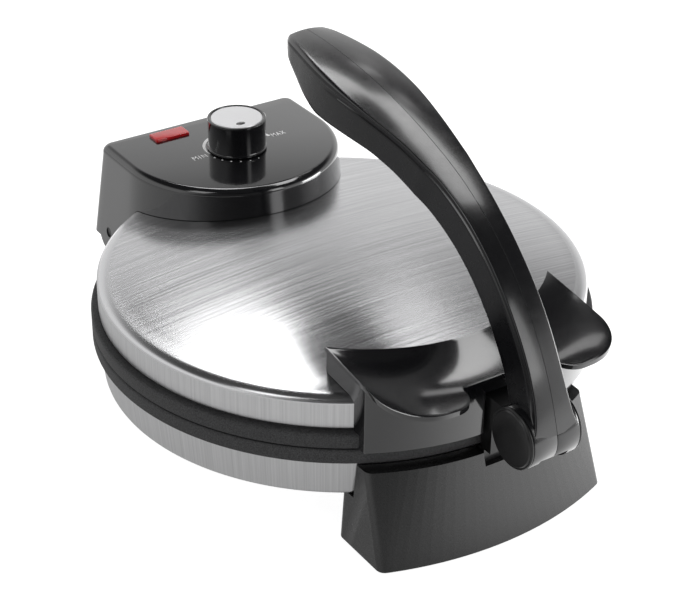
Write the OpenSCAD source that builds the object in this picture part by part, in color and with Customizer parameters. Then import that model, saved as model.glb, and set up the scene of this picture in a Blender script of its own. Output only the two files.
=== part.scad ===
// Electric roti maker: a steel base and a hinged steel lid with a cooking plate in each,
// a press lever on a front bracket, a winged lid handle and a control housing at the back.
// Millimetres. X to the right, Y to the back, Z up from the table; the origin is under the
// middle of the round body.

/* [Body] */
// Outer radius of both rim rings
ring_r = 137.5; // [132:0.5:145]
// Height above the table where base and lid meet
split_z = 61; // [58:0.5:66]
// Gap between the two closed rim rings
ring_gap = 0.6; // [0.4:0.1:1.2]
// Height of a rim ring's outer face
ring_h = 8.4; // [7.5:0.1:10]
// Underside of the base pan above the table
pan_z = 30; // [27:0.5:33]
// How far the steel band's top stands inside the ring's edge
band_inset = 3; // [2:0.1:4]
// How much the steel band narrows towards the table
band_draft = 2; // [0.5:0.1:3]
// Thickness of the pressed steel
sheet_t = 1; // [0.6:0.1:1.5]
// Outer bend radius of the pan's corner
pan_corner = 3; // [2:0.1:5]
// Clearance between pieces that seat in one another
fit = 0.3; // [0.2:0.05:0.4]

/* [Lid] */
// How far the lid's steel wall stands inside the ring's edge
lid_inset = 4; // [3:0.1:5]
// Dark gap between the upper ring and the lid's steel wall
shadow_gap = 1.4; // [0.6:0.1:2]
// Height of the lid's straight steel wall
lid_wall_h = 13.9; // [12:0.1:17]
// Width of the rolled shoulder
shoulder_w = 6.8; // [5:0.1:9]
// Height of the rolled shoulder
shoulder_h = 3.7; // [3:0.1:5]
// Crown of the lid's top above the shoulder
lid_crown = 8.3; // [7:0.1:9.5]

/* [Cooking plates] */
// Width of a rim ring around its cooking plate
rim_w = 11.5; // [10.5:0.5:15]
// Gap between the cooking faces when closed
plate_gap = 3; // [2:0.1:4]
// Thickness of a plate's edge flange
plate_flange_t = 5.5; // [4.5:0.1:6]
// Extra thickness of a plate's core behind the flange
plate_core_t = 1; // [0.5:0.1:2]
// Width of the ring's ledge under a plate's flange
ledge_w = 5.3; // [3:0.1:6]
// Thickness of that ledge
ledge_t = 3.5; // [2.5:0.1:4.5]
// Height of the ring's lip inside the steel
lip_h = 7; // [5:0.1:8]
// Thickness of that lip
lip_t = 3; // [2:0.1:3.2]
// Distance of the heating element's loop from a plate's edge
element_inset = 41; // [31:1:51]
// Radius of the heating element's sheath
element_tube_r = 3.3; // [3:0.1:3.6]
// Angle of the loop that stays open between its ends
element_open = 40; // [30:1:60]
// Distance of a heat shield behind its cooking face
shield_drop = 18; // [16:0.1:19]
// Distance of a heat shield's rim from a plate's edge
shield_inset = 14; // [10:0.5:22]
// Distance of the three posts from the middle
stud_place_r = 60; // [50:1:70]
// Radius of a post
stud_r = 5; // [4:0.1:6]
// Length of a cold end of the heating element
cold_pin_l = 9; // [7:0.5:12]

/* [Front foot] */
// Half of the foot's width at the table
foot_half_w = 71; // [66:0.5:76]
// Half of the foot's width at its top
foot_top_half_w = 68; // [64:0.5:72]
// How far the foot's lower edge stands in front of the rings
foot_proud = 19; // [15:0.5:24]
// Radius of the foot's front curve at the table
foot_curve_r = 192; // [170:1:220]
// Height of the foot's top edge
foot_top_z = 50; // [48:0.5:51]
// How far the foot's top edge stands in front of the rings
foot_top_proud = 5; // [4:0.1:6]
// Distance of the foot's back wall from the rings' edge
foot_back_inset = 33.5; // [29.5:0.5:39.5]
// Wall thickness of both stands
foot_wall = 3; // [2.5:0.1:3.5]
// Radius of the stands' upright corners
foot_corner_r = 5; // [3:0.5:8]
// How much a stand's underside clears the table
foot_lift = 1; // [0.5:0.1:1.5]
// Radius of a rubber pad
pad_r = 9; // [7:0.5:10]
// Thickness of a rubber pad
pad_t = 2.6; // [2.4:0.1:3.5]
// Distance of the front pads from the middle line
pad_x = 52; // [46:0.5:54]
// Distance of the front pads from the rings' edge
pad_inset = 11.5; // [8:0.5:15]

/* [Rear stand] */
// Half of the stand's width at the table
stand_half_w = 56; // [50:0.5:58]
// Half of the stand's width at its top
stand_top_half_w = 64; // [62:0.5:65]
// Height of the stand's top
stand_top_z = 34; // [33:0.5:35]
// Distance of the stand's front wall from the rings' edge
stand_front_inset = 39.5; // [36:0.5:45]
// How much less the stand reaches back at its top
stand_lean = 12; // [8:0.5:16]
// Radius of the stand's back curve
stand_curve_r = 110; // [90:1:140]
// Distance of the rear pads from the middle line
rear_pad_x = 36; // [30:0.5:40]
// How far the rear pads stand behind the rings' edge
rear_pad_out = 20.5; // [13:0.5:24]
// Radius of the cord's bore in the gland
cord_bore_r = 3.6; // [3:0.1:4]
// Radius of the gland's barrel
gland_r = 6; // [5.5:0.1:7]
// Height of the cord's bore above the table
gland_z = 17; // [15:0.5:19]

/* [Hinge] */
// How far the hinge axis stands behind the rings' edge
hinge_out = 8.5; // [7:0.5:10.5]
// Height of the hinge axis
hinge_z = 60; // [58:0.5:62]
// Radius of a hinge pin
hinge_pin_r = 3; // [2.5:0.1:3.5]
// Radius of the stand's hinge eye
hinge_eye_r = 9; // [7:0.1:10]
// Radius of the housing's hinge ear
hinge_ear_r = 12; // [10:0.5:13]
// Distance from the middle line to the outer face of a hinge post
hinge_post_x = 65.6; // [64:0.1:66]
// Thickness of a hinge post
hinge_post_t = 7.5; // [6:0.1:9]
// Radial play of a turning pin
pin_play = 0.05; // [0.03:0.01:0.08]

/* [Control housing] */
// Height of the housing's top
housing_top_z = 112; // [110:0.5:115]
// Half of the housing's width where the top starts to round
housing_half_w = 65.5; // [65:0.1:67]
// Half of the housing's width at its lowest point
housing_foot_half_w = 70.4; // [70:0.1:72]
// Rounding of the housing's top edge
housing_round = 4.3; // [3.5:0.1:6]
// Wall thickness of the housing
housing_wall = 2.5; // [2:0.1:3]
// Distance of the housing's nose from the rings' edge
nose_inset = 80; // [76:0.5:81.5]
// How far the housing's back stands behind the rings' edge where the top starts to round
housing_back_out = 23; // [21.5:0.5:26.5]
// How far the housing's lower edge stands behind the rings' edge
housing_foot_out = 30.5; // [28.5:0.5:32.5]
// Height of the housing's lower edge
housing_foot_z = 54; // [53:0.5:56]
// Height of the housing's lower edge beside the rings
housing_side_z = 63; // [62:0.5:66]

/* [Dial] */
// Distance of the dial from the rings' edge
dial_inset = 25.5; // [21.5:0.5:29.5]
// Radius of the knob
knob_r = 17.3; // [15:0.1:18]
// Height of the knob
knob_h = 19; // [15:0.5:22]
// Radius of the metal disc in the knob
knob_disc_r = 15; // [12:0.1:16]
// Gap under the knob
knob_gap = 0.6; // [0.4:0.1:1]
// Radius of the spindle
spindle_r = 3; // [2.5:0.1:3.5]
// Width of the pilot lamp's lens
lamp_w = 22; // [18:0.5:26]
// Depth of the pilot lamp's lens
lamp_d = 9.8; // [8:0.1:12]
// How much the lens stands above the housing
lamp_proud = 1.6; // [1:0.1:2.5]
// Distance of the lamp from the middle line
lamp_x = 25.8; // [24:0.1:28]
// How far the lamp stands behind the rings' edge
lamp_out = 9.5; // [5.5:0.5:11.5]

/* [Wing handle] */
// Half of the handle's width
wing_half_w = 69.5; // [66:0.5:72]
// Reach of the wings in front of the rings' edge
wing_out = 21.5; // [18.5:0.5:25.5]
// Outer corner radius of a wing
wing_corner_r = 27; // [20:0.5:30]
// Inner corner radius of a wing
wing_inner_r = 12; // [8:0.5:13]
// Half width of the notch between the wings
notch_half_w = 27; // [25:0.5:29]
// Depth of the notch
notch_depth = 14.5; // [12:0.5:17]
// Distance of the handle's back edge from the rings' edge, at the middle
dish_back_inset = 19.5; // [17.5:0.5:21.5]
// Radius of the handle's back edge about the dish's centre
dish_back_r = 99; // [96:0.5:101]
// Radius at which the dish is lowest
dish_low_r = 138; // [134:0.5:142]
// Lowest height of the dish
dish_low_z = 95; // [94.5:0.5:97]
// Radius of the dish's cross-section
dish_r = 80; // [72:1:90]
// Height of a wing's outer end at the back edge
wing_back_z = 105.2; // [104.5:0.1:106]
// Fall of a wing's outer end for each millimetre away from the dish's centre
wing_fall = 0.165; // [0.15:0.005:0.18]
// Thickness of the handle's top
wing_t = 2.5; // [2:0.1:3]
// Thickness of the handle's walls
apron_t = 2.5; // [2:0.1:3]
// Gap between the rings and the apron
apron_gap = 2; // [1:0.1:2.5]
// Half width of the apron's slot for the lever bracket
slot_half_w = 10; // [9:0.1:11]
// Top of that slot
slot_top_z = 86; // [85.5:0.1:87]

/* [Lever] */
// How far the lever's axis stands in front of the rings' edge
barrel_out = 32.5; // [30.5:0.5:34.5]
// Height of the lever's axis
barrel_z = 77.5; // [76:0.5:79]
// Radius of the lever's barrel
barrel_r = 16; // [15:0.1:17]
// Half length of the barrel with its caps
barrel_half_l = 16; // [15.5:0.1:18]
// Thickness of a barrel cap
barrel_cap_t = 2; // [1.5:0.1:2.5]
// Highest point of the lever
lever_top_z = 212; // [206:1:218]
// Radius of the lever's long back curve
lever_back_r = 342; // [330:1:355]
// Radius of the lever's neck curve
lever_neck_r = 160; // [155:1:165]
// Angle from upright at which the two curves meet
lever_turn = 21; // [19:0.5:23]
// Half width of the lever's neck
lever_neck_half_w = 9.5; // [9.2:0.1:10.5]
// Thickness of the lever's neck
lever_neck_t = 22.5; // [21:0.5:24]
// Wall thickness of the lever halves
lever_wall = 2.5; // [2:0.1:3]
// Radius of the lever's axle
axle_r = 4; // [3.5:0.1:4.5]
// Half width of the bracket's tongue
tongue_half_w = 8; // [7.5:0.1:8.5]
// Half height of the bracket's tongue
tongue_half_h = 6; // [5:0.1:6.5]
// Radius of the bracket's eye
eye_r = 10; // [8.5:0.1:10.5]
// Travel of the lever in degrees
lever_travel = 120; // [110:1:122]

/* [Hidden] */
$fn = 96;

// Fasteners: shank radius, head radius, head height, and play round the shank
screw_r = 2;
screw_head_r = 3.6;
screw_head_h = 2.4;
screw_play = 0.2;
small_screw_r = 1.5;
small_head_r = 3;
thread_play = 0.05;

// Bores and screws by length
stud_bore_l = 9;
plate_screw_l = 8;
handle_screw_l = 6;
housing_screw_bite = 7.5;
base_boss_l = 8;

// Heights
lower_face_z = split_z - plate_gap / 2;
upper_face_z = split_z + plate_gap / 2;
lower_ring_top_z = split_z - ring_gap / 2;
lower_ring_bottom_z = lower_ring_top_z - ring_h;
upper_ring_bottom_z = split_z + ring_gap / 2;
upper_ring_top_z = upper_ring_bottom_z + ring_h;
pan_floor_z = pan_z + sheet_t;
lid_wall_z = upper_ring_top_z + shadow_gap;
shoulder_z = lid_wall_z + lid_wall_h;
lid_rim_z = shoulder_z + shoulder_h;
lid_top_z = lid_rim_z + lid_crown;

// Radii
band_top_r = ring_r - band_inset;
band_foot_r = band_top_r - band_draft;
lid_r = ring_r - lid_inset;
lid_rim_r = lid_r - shoulder_w;
plate_r = ring_r - rim_w;
element_r = plate_r - element_inset;
shield_r = plate_r - shield_inset;
plate_bore_r = plate_r + fit;
plate_core_r = plate_bore_r - ledge_w - fit;
lower_lip_r = band_top_r - sheet_t - fit
  - band_draft * lip_h / (lower_ring_bottom_z - pan_z);
upper_lip_r = lid_r - sheet_t - fit;

// Places in front of and behind the body's axis
foot_reach = ring_r + foot_proud;
foot_back_y = ring_r - foot_back_inset;
pad_y = ring_r - pad_inset;
stand_front_y = ring_r - stand_front_inset;
rear_pad_y = ring_r + rear_pad_out;
hinge_y = ring_r + hinge_out;
nose_y = ring_r - nose_inset;
housing_back_y = ring_r + housing_back_out;
housing_back_foot_y = ring_r + housing_foot_out;
dial_y = ring_r - dial_inset;
lamp_y = ring_r + lamp_out;
wing_reach = ring_r + wing_out;
dish_y = ring_r - dish_back_inset - dish_back_r;
barrel_y = ring_r + barrel_out;

// Cooking plate, measured down from its cooking face
core_drop = plate_flange_t + plate_core_t;
element_bite = 1.5;
element_drop = core_drop + element_tube_r - element_bite;
groove_play = 0.2;
cold_pin_r = 2.2;
shield_t = 0.8;
shield_rim_h = 6;
stud_neck_r = stud_r - 1.8;
post_angles = [90, 210, 330];

// Lever geometry, in the plane of Y and Z
neck_cz = lever_top_z - lever_back_r + (lever_back_r - lever_neck_r) * cos(lever_turn);
neck_to_barrel = lever_neck_r - barrel_r;
neck_cy = -barrel_y + sqrt(pow(neck_to_barrel, 2) - pow(barrel_z - neck_cz, 2));
back_cy = neck_cy + (lever_back_r - lever_neck_r) * sin(lever_turn);
back_cz = lever_top_z - lever_back_r;
root_angle = atan2(neck_cy + barrel_y, barrel_z - neck_cz);
tip_angle = -1.1;
tip_round = 4;
// Angle from upright, and the lever's thickness there as a share of the neck's
lever_depth = [
  [tip_angle, 0.42], [0, 0.54], [2, 0.8], [4.2, 1.06], [6.6, 1.2], [9, 1.15],
  [12, 1.06], [15, 0.97], [18, 0.96], [lever_turn, 1], [90, 1]
];
// Angle from upright, and the half width there beyond the neck's
lever_flare = [
  [tip_angle, 2.4], [0, 4.3], [2, 6.9], [4, 9.1], [6, 10.7], [8, 11.4], [10, 11.2],
  [12, 10.4], [14, 9], [16, 7.3], [18, 5.6], [20.5, 3.8], [25, 2.1], [30, 1.1],
  [35, 0.4], [42, 0], [62, 0], [68, 0.6], [72, 1.6], [76, 3.2]
];
// Angle from upright, and how far the crown's edges lie below its middle
lever_drop = [
  [tip_angle, 1], [2, 1], [6, 1.5], [10, 2.1], [14, 2], [18, 1], [25, 0.5], [90, 0.5]
];
seat_play = 0.5;
bush_x = tongue_half_w + seat_play;
barrel_hollow_r = barrel_r - 3.5;
tongue_rise = asin(tongue_half_h / barrel_hollow_r);
slot_margin = 4;
lever_post_angles = [7, 20, 50];
lever_post_r = 4.5;
lever_head_x = 5.5;
lever_screw_end_x = 7;

// Bracket
bracket_back_y = ring_r + seat_play;
bracket_t = 8;
tab_t = 3;
bracket_foot_z = pan_z + 4;
bracket_hole_x = 4.5;
bracket_hole_z = bracket_foot_z + 4;
notch_play = 1;
foot_notch_depth = 7;

// Front foot and rear stand
foot_top_reach = ring_r + foot_top_proud;
foot_floor_t = 3;
column_r = 6.5;
access_r = screw_head_r + 0.6;
foot_column = [42, foot_back_y + 10];
stand_column = [36, stand_front_y + 16];
column_seat_drop = 6;
stand_reach = barrel_y + barrel_r;
shell_clear_r = band_top_r + fit;
gland_flange_r = gland_r + 3;
gland_flange_t = 2.5;
gland_boss_r = gland_r + 4;
gland_face_y = stand_reach - 7;
gland_inner_y = gland_face_y - 24;
post_front_y = sqrt(pow(ring_r, 2) - pow(hinge_post_x - hinge_post_t, 2)) + 0.9;
post_back_y = hinge_y - 11.5;
pin_sink = 1.6;

// Housing interior
lid_clear = 0.3;
base_plate_z = lid_height(nose_y) + 0.4;
base_plate_t = 1.5;
boss_r = 4;
housing_holes = [[46, nose_y + 42.5], [22, nose_y + 26.5]];
housing_ceiling_z = housing_top_z - housing_wall;
thermostat_size = [32, 26, 8.4];
thermostat_neck_r = 5;
thermostat_neck_h = 3.4;
spindle_foot_z = housing_ceiling_z - thermostat_neck_h - 6;
spindle_head_z = housing_top_z + knob_gap + 11;
knob_z = housing_top_z + knob_gap;
disc_t = 0.8;
lamp_stem = [lamp_w - 2, lamp_d - 1.8];
lamp_stem_h = 4;
lamp_body_h = 10;
handle_hole_x = 40;
handle_hole_z = shoulder_z - 4;

function arc(c, r, from, to, steps) =
  [for (i = [0:steps]) c + r * [cos(from + (to - from) * i / steps),
                                sin(from + (to - from) * i / steps)]];

// Point of the lever's side view at an angle from upright, some way inside its crown
function crown(angle, inset) = angle < lever_turn
  ? [back_cy - (lever_back_r - inset) * sin(angle),
     back_cz + (lever_back_r - inset) * cos(angle)]
  : [neck_cy - (lever_neck_r - inset) * sin(angle),
     neck_cz + (lever_neck_r - inset) * cos(angle)];

function depth_at(angle) = lever_neck_t * lookup(angle, lever_depth);

// Height of the lid's outer face at a radius
function lid_height(r) = lid_top_z - lid_crown * pow(r / lid_rim_r, 2);

module at_corners(x, y) {
  for (side = [-1, 1]) translate([side * x, y, 0]) children();
}

module at_posts() {
  for (angle = post_angles) rotate([0, 0, angle]) translate([stud_place_r, 0, 0]) children();
}

// Screw that points up from z = 0, its head below
module screw(r, head_r, head_h, length) {
  cylinder(r = r, h = length);
  translate([0, 0, -head_h]) cylinder(r = head_r, h = head_h);
}

// Turns what is drawn along Z so that it points along +X
module along_x() {
  rotate([0, 90, 0]) children();
}

// Turns what is drawn along Z so that it points along -Y
module along_front() {
  rotate([90, 0, 0]) children();
}

// Draws a side view of Y and Z as a slab from x0 to x1
module side_slab(x0, x1) {
  translate([x0, 0, 0]) rotate([90, 0, 90]) linear_extrude(height = x1 - x0) children();
}

module pan_profile() {
  corner = arc([band_foot_r - pan_corner, pan_z + pan_corner], pan_corner, -90, 0, 6);
  inner = arc([band_foot_r - pan_corner, pan_z + pan_corner], pan_corner - sheet_t, 0, -90, 6);
  polygon(concat(
    [[0, pan_z]], corner, [[band_top_r, lower_ring_bottom_z]],
    [[band_top_r - sheet_t, lower_ring_bottom_z]], inner, [[0, pan_floor_z]]
  ));
}

module base_shell() {
  color([0.75, 0.75, 0.76]) difference() {
    rotate_extrude() pan_profile();
    translate([0, 0, pan_z - 1]) at_posts() cylinder(r = screw_r + screw_play, h = sheet_t + 2);
    translate([0, -foot_column[1], pan_z - 1]) at_corners(foot_column[0], 0)
      cylinder(r = screw_r + screw_play, h = sheet_t + 2);
    translate([0, stand_column[1], pan_z - 1]) at_corners(stand_column[0], 0)
      cylinder(r = screw_r + screw_play, h = sheet_t + 2);
    for (side = [-1, 1]) translate([side * bracket_hole_x, -band_foot_r + 8, bracket_hole_z])
      along_front() cylinder(r = screw_r + screw_play, h = 20);
  }
}

// Half section of a rim ring, measured down from its meeting face
module ring_profile(lip_r, lip_drop) {
  edge = 0.8;
  seat = plate_flange_t - ring_gap / 2 + plate_gap / 2;
  polygon([
    [plate_bore_r, 0], [ring_r - edge, 0], [ring_r, -edge], [ring_r, -ring_h + edge],
    [ring_r - edge, -ring_h], [lip_r, -ring_h], [lip_r, -ring_h - lip_drop],
    [lip_r - lip_t, -ring_h - lip_drop], [lip_r - lip_t, -seat - ledge_t],
    [plate_bore_r - ledge_w, -seat - ledge_t], [plate_bore_r - ledge_w, -seat],
    [plate_bore_r, -seat]
  ]);
}

module lower_ring() {
  color([0.16, 0.16, 0.17]) translate([0, 0, lower_ring_top_z])
    rotate_extrude() ring_profile(lower_lip_r, lip_h);
}

module upper_ring() {
  color([0.16, 0.16, 0.17]) translate([0, 0, upper_ring_bottom_z]) mirror([0, 0, 1])
    rotate_extrude() ring_profile(upper_lip_r, lip_h);
}

// Cooking plate with its face at z = 0 and its back below
module heat_plate() {
  difference() {
    union() {
      translate([0, 0, -plate_flange_t]) cylinder(r = plate_r, h = plate_flange_t);
      translate([0, 0, -core_drop]) cylinder(r = plate_core_r, h = core_drop);
    }
    translate([0, 0, -element_drop]) rotate_extrude() translate([element_r, 0])
      circle(r = element_tube_r + groove_play);
  }
}

module heat_element() {
  start = 90 + element_open / 2;
  translate([0, 0, -element_drop]) {
    rotate([0, 0, start]) rotate_extrude(angle = 360 - element_open)
      translate([element_r, 0]) circle(r = element_tube_r);
    for (angle = [start, start - element_open]) rotate([0, 0, angle])
      translate([element_r, 0, 0]) {
        sphere(r = element_tube_r);
        translate([0, 0, -cold_pin_l]) cylinder(r = cold_pin_r, h = cold_pin_l);
      }
  }
}

module heat_shield() {
  start = 90 + element_open / 2;
  difference() {
    rotate_extrude() polygon([
      [0, -shield_drop], [shield_r - shield_t, -shield_drop],
      [shield_r - shield_t, -shield_drop + shield_rim_h],
      [shield_r, -shield_drop + shield_rim_h], [shield_r, -shield_drop - shield_t],
      [0, -shield_drop - shield_t]
    ]);
    translate([0, 0, -shield_drop - 5]) {
      at_posts() cylinder(r = stud_neck_r + screw_play, h = 10);
      for (angle = [start, start - element_open]) rotate([0, 0, angle])
        translate([element_r, 0, 0]) cylinder(r = cold_pin_r + 2, h = 10);
    }
  }
}

// Shouldered post from the plate's back down to the steel, bored from below
module plate_posts(reach, bore_l) {
  at_posts() difference() {
    union() {
      translate([0, 0, -reach]) cylinder(r = stud_r, h = reach - shield_drop - shield_t);
      translate([0, 0, -reach]) cylinder(r = stud_neck_r, h = reach - core_drop);
    }
    if (bore_l > 0) translate([0, 0, -reach - 1])
      cylinder(r = screw_r + thread_play, h = bore_l + 1);
  }
}

module lower_plate() {
  color([0.1, 0.1, 0.11]) translate([0, 0, lower_face_z]) heat_plate();
}

module lower_element() {
  color([0.42, 0.4, 0.38]) translate([0, 0, lower_face_z]) heat_element();
}

module lower_reflector() {
  color([0.7, 0.7, 0.7]) translate([0, 0, lower_face_z]) heat_shield();
}

module lower_plate_studs() {
  color([0.6, 0.6, 0.6]) translate([0, 0, lower_face_z])
    plate_posts(lower_face_z - pan_floor_z, stud_bore_l);
}

module plate_screws() {
  color([0.6, 0.6, 0.6]) translate([0, 0, pan_z]) at_posts()
    screw(screw_r, screw_head_r, screw_head_h, plate_screw_l);
}

module upper_plate() {
  color([0.1, 0.1, 0.11]) translate([0, 0, upper_face_z]) mirror([0, 0, 1]) heat_plate();
}

module upper_element() {
  color([0.42, 0.4, 0.38]) translate([0, 0, upper_face_z]) mirror([0, 0, 1]) heat_element();
}

module upper_reflector() {
  color([0.7, 0.7, 0.7]) translate([0, 0, upper_face_z]) mirror([0, 0, 1]) heat_shield();
}

module upper_plate_studs() {
  reach = lid_height(stud_place_r + stud_r) - sheet_t - 0.1 - upper_face_z;
  color([0.6, 0.6, 0.6]) translate([0, 0, upper_face_z]) mirror([0, 0, 1])
    plate_posts(reach, 0);
}

module terminal_block() {
  size = [34, 16, 8];
  color([0.85, 0.83, 0.76]) translate([-size[0] / 2, 30, pan_floor_z]) difference() {
    cube(size);
    for (i = [0:2]) translate([size[0] * (i + 0.5) / 3, -1, size[2] * 0.45])
      rotate([-90, 0, 0]) cylinder(r = 1.8, h = size[1] + 2);
  }
}

module thermal_fuse() {
  shield_top_z = upper_face_z + shield_drop + shield_t;
  color([0.8, 0.8, 0.78]) translate([0, -35, shield_top_z]) {
    translate([-6, -4, 0]) cube([12, 8, 0.8]);
    translate([-9, 0, 3]) along_x() cylinder(r = 2.4, h = 18);
    translate([-2, -2.4, 0.4]) cube([4, 4.8, 2.6]);
  }
}

// Outline of the front foot in plan, with a straight back and a curved front
module foot_plan(half_w, reach, curve_r, inset) {
  offset(r = foot_corner_r) offset(delta = -foot_corner_r - inset) intersection() {
    translate([-half_w, -reach]) square([2 * half_w, reach - foot_back_y]);
    translate([0, curve_r - reach]) circle(r = curve_r, $fn = 180);
  }
}

module foot_solid(inset, from_z, to_z) {
  rise = (from_z - foot_lift) / (foot_top_z - foot_lift);
  fall = (to_z - foot_lift) / (foot_top_z - foot_lift);
  hull() for (level = [[rise, from_z], [fall, to_z - 0.01]])
    translate([0, 0, level[1]]) linear_extrude(height = 0.01)
      foot_plan(
        foot_half_w + (foot_top_half_w - foot_half_w) * level[0],
        foot_reach + (foot_top_reach - foot_reach) * level[0],
        foot_curve_r + (foot_top_reach - foot_curve_r) * level[0],
        inset
      );
}

// Screw column under the pan, open from below for the screw
module screw_column(place) {
  at_corners(place[0], place[1]) cylinder(r = column_r, h = pan_z);
}

module screw_column_bore(place) {
  seat_z = pan_z - column_seat_drop;
  at_corners(place[0], place[1]) {
    translate([0, 0, -1]) cylinder(r = access_r, h = seat_z + 1);
    cylinder(r = screw_r + screw_play, h = pan_z + 1);
  }
}

module front_foot() {
  color([0.2, 0.2, 0.21]) difference() {
    union() {
      difference() {
        foot_solid(0, foot_lift, foot_top_z);
        foot_solid(foot_wall, foot_lift + foot_floor_t, foot_top_z - foot_wall);
      }
      intersection() {
        screw_column([foot_column[0], -foot_column[1]]);
        translate([-200, -200, foot_lift]) cube([400, 400, pan_z]);
      }
    }
    translate([0, 0, pan_z]) cylinder(r = shell_clear_r, h = 40);
    screw_column_bore([foot_column[0], -foot_column[1]]);
    at_corners(pad_x, -pad_y) translate([0, 0, -1]) cylinder(r = pad_r + 0.1, h = pad_t + 1);
    translate([-tongue_half_w - notch_play, -200, foot_top_z - foot_notch_depth])
      cube([2 * (tongue_half_w + notch_play), 100, 20]);
  }
}

// Outline of the rear stand in plan, with a straight front and a curved back
module stand_plan(half_w, reach, inset) {
  offset(r = foot_corner_r) offset(delta = -foot_corner_r - inset) intersection() {
    translate([-half_w, stand_front_y]) square([2 * half_w, reach - stand_front_y]);
    translate([0, reach - stand_curve_r]) circle(r = stand_curve_r, $fn = 180);
  }
}

module stand_solid(inset, from_z, to_z) {
  rise = (from_z - foot_lift) / (stand_top_z - foot_lift);
  fall = (to_z - foot_lift) / (stand_top_z - foot_lift);
  hull() for (level = [[rise, from_z], [fall, to_z - 0.01]])
    translate([0, 0, level[1]]) linear_extrude(height = 0.01)
      stand_plan(
        stand_half_w + (stand_top_half_w - stand_half_w) * level[0],
        stand_reach - stand_lean * level[0],
        inset
      );
}

// Side view of a hinge post: an upright beside the pan that leans back to the eye
module hinge_post_view() {
  polygon([
    [post_front_y, foot_lift + foot_floor_t], [post_back_y, foot_lift + foot_floor_t],
    [post_back_y, hinge_z - 19], [hinge_y + 2, hinge_z - hinge_eye_r + 0.25],
    [hinge_y, hinge_z], [hinge_y, hinge_z + hinge_eye_r],
    [post_front_y, hinge_z - 3]
  ]);
  translate([hinge_y, hinge_z]) circle(r = hinge_eye_r);
}

module rear_stand() {
  color([0.12, 0.12, 0.13]) difference() {
    union() {
      difference() {
        stand_solid(0, foot_lift, stand_top_z);
        stand_solid(foot_wall, foot_lift + foot_floor_t, stand_top_z - foot_wall);
      }
      intersection() {
        screw_column(stand_column);
        translate([-200, 0, foot_lift]) cube([400, 400, pan_z]);
      }
      translate([0, gland_face_y, gland_z]) along_front() cylinder(r = gland_boss_r, h = 21);
      for (side = [-1, 1]) scale([side, 1, 1])
        side_slab(hinge_post_x - hinge_post_t, hinge_post_x) hinge_post_view();
    }
    translate([0, 0, pan_z]) cylinder(r = shell_clear_r, h = 40);
    screw_column_bore(stand_column);
    at_corners(rear_pad_x, rear_pad_y) translate([0, 0, -1])
      cylinder(r = pad_r + 0.1, h = pad_t + 1);
    translate([0, gland_face_y + 1, gland_z]) along_front()
      cylinder(r = gland_r + 0.1, h = 40);
    translate([0, gland_face_y + 20, gland_z]) along_front()
      cylinder(r = gland_flange_r + 0.3, h = 20);
    translate([-100, hinge_y, hinge_z]) along_x()
      cylinder(r = hinge_pin_r + pin_play, h = 200);
  }
}

module foot_pads() {
  color([0.08, 0.08, 0.08]) {
    at_corners(pad_x, -pad_y) cylinder(r = pad_r, h = pad_t);
    at_corners(rear_pad_x, rear_pad_y) cylinder(r = pad_r, h = pad_t);
  }
}

module foot_screws() {
  color([0.6, 0.6, 0.6]) for (place = [[foot_column[0], -foot_column[1]], stand_column])
    at_corners(place[0], place[1]) translate([0, 0, pan_z - column_seat_drop])
      screw(screw_r, screw_head_r, screw_head_h, column_seat_drop + 3);
}

module lever_bracket() {
  tongue_low_z = barrel_z - tongue_half_h;
  color([0.1, 0.1, 0.11]) difference() {
    union() {
      translate([-tongue_half_w, -bracket_back_y - bracket_t, foot_top_z + notch_play])
        cube([2 * tongue_half_w, bracket_t,
              barrel_z + tongue_half_h - foot_top_z - notch_play]);
      translate([-tongue_half_w, -bracket_back_y - tab_t, bracket_foot_z])
        cube([2 * tongue_half_w, tab_t, foot_top_z + 5 - bracket_foot_z]);
      translate([-tongue_half_w, -bracket_back_y - 0.5, bracket_foot_z])
        cube([2 * tongue_half_w, bracket_back_y - band_foot_r + 0.5,
              lower_ring_bottom_z - 1 - bracket_foot_z]);
      translate([-tongue_half_w, -barrel_y, tongue_low_z])
        cube([2 * tongue_half_w, barrel_y - bracket_back_y - 1, 2 * tongue_half_h]);
      translate([-tongue_half_w, -barrel_y, barrel_z]) along_x()
        cylinder(r = eye_r, h = 2 * tongue_half_w);
    }
    translate([0, 0, pan_z - 5]) cylinder(r = shell_clear_r, h = lower_ring_bottom_z - pan_z + 5);
    translate([-50, -barrel_y, barrel_z]) along_x() cylinder(r = axle_r + pin_play, h = 100);
    for (side = [-1, 1]) translate([side * bracket_hole_x, -band_foot_r + 8, bracket_hole_z])
      along_front() cylinder(r = screw_r + thread_play, h = 30);
  }
}

module bracket_screws() {
  depth_z = (lower_ring_bottom_z - bracket_hole_z + screw_head_r) / (lower_ring_bottom_z - pan_z);
  inside_r = band_top_r - band_draft * depth_z - sheet_t;
  head_y = sqrt(pow(inside_r, 2) - pow(bracket_hole_x + screw_head_r, 2)) - 0.2;
  color([0.6, 0.6, 0.6]) for (side = [-1, 1])
    translate([side * bracket_hole_x, -head_y, bracket_hole_z]) along_front()
      screw(screw_r, screw_head_r, screw_head_h, bracket_back_y + tab_t - head_y - 0.3);
}

module lever_axle() {
  half_l = barrel_half_l - barrel_cap_t - 0.3;
  color([0.7, 0.7, 0.7]) translate([-half_l, -barrel_y, barrel_z]) along_x()
    cylinder(r = axle_r, h = 2 * half_l);
}

// Plain pins pressed in flush, so that the housing's sides stay even
module hinge_pins() {
  length = housing_foot_half_w - pin_sink - hinge_post_x + hinge_post_t;
  color([0.7, 0.7, 0.7]) for (side = [-1, 1]) scale([side, 1, 1])
    translate([hinge_post_x - hinge_post_t, hinge_y, hinge_z]) along_x()
      cylinder(r = hinge_pin_r, h = length);
}

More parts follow.
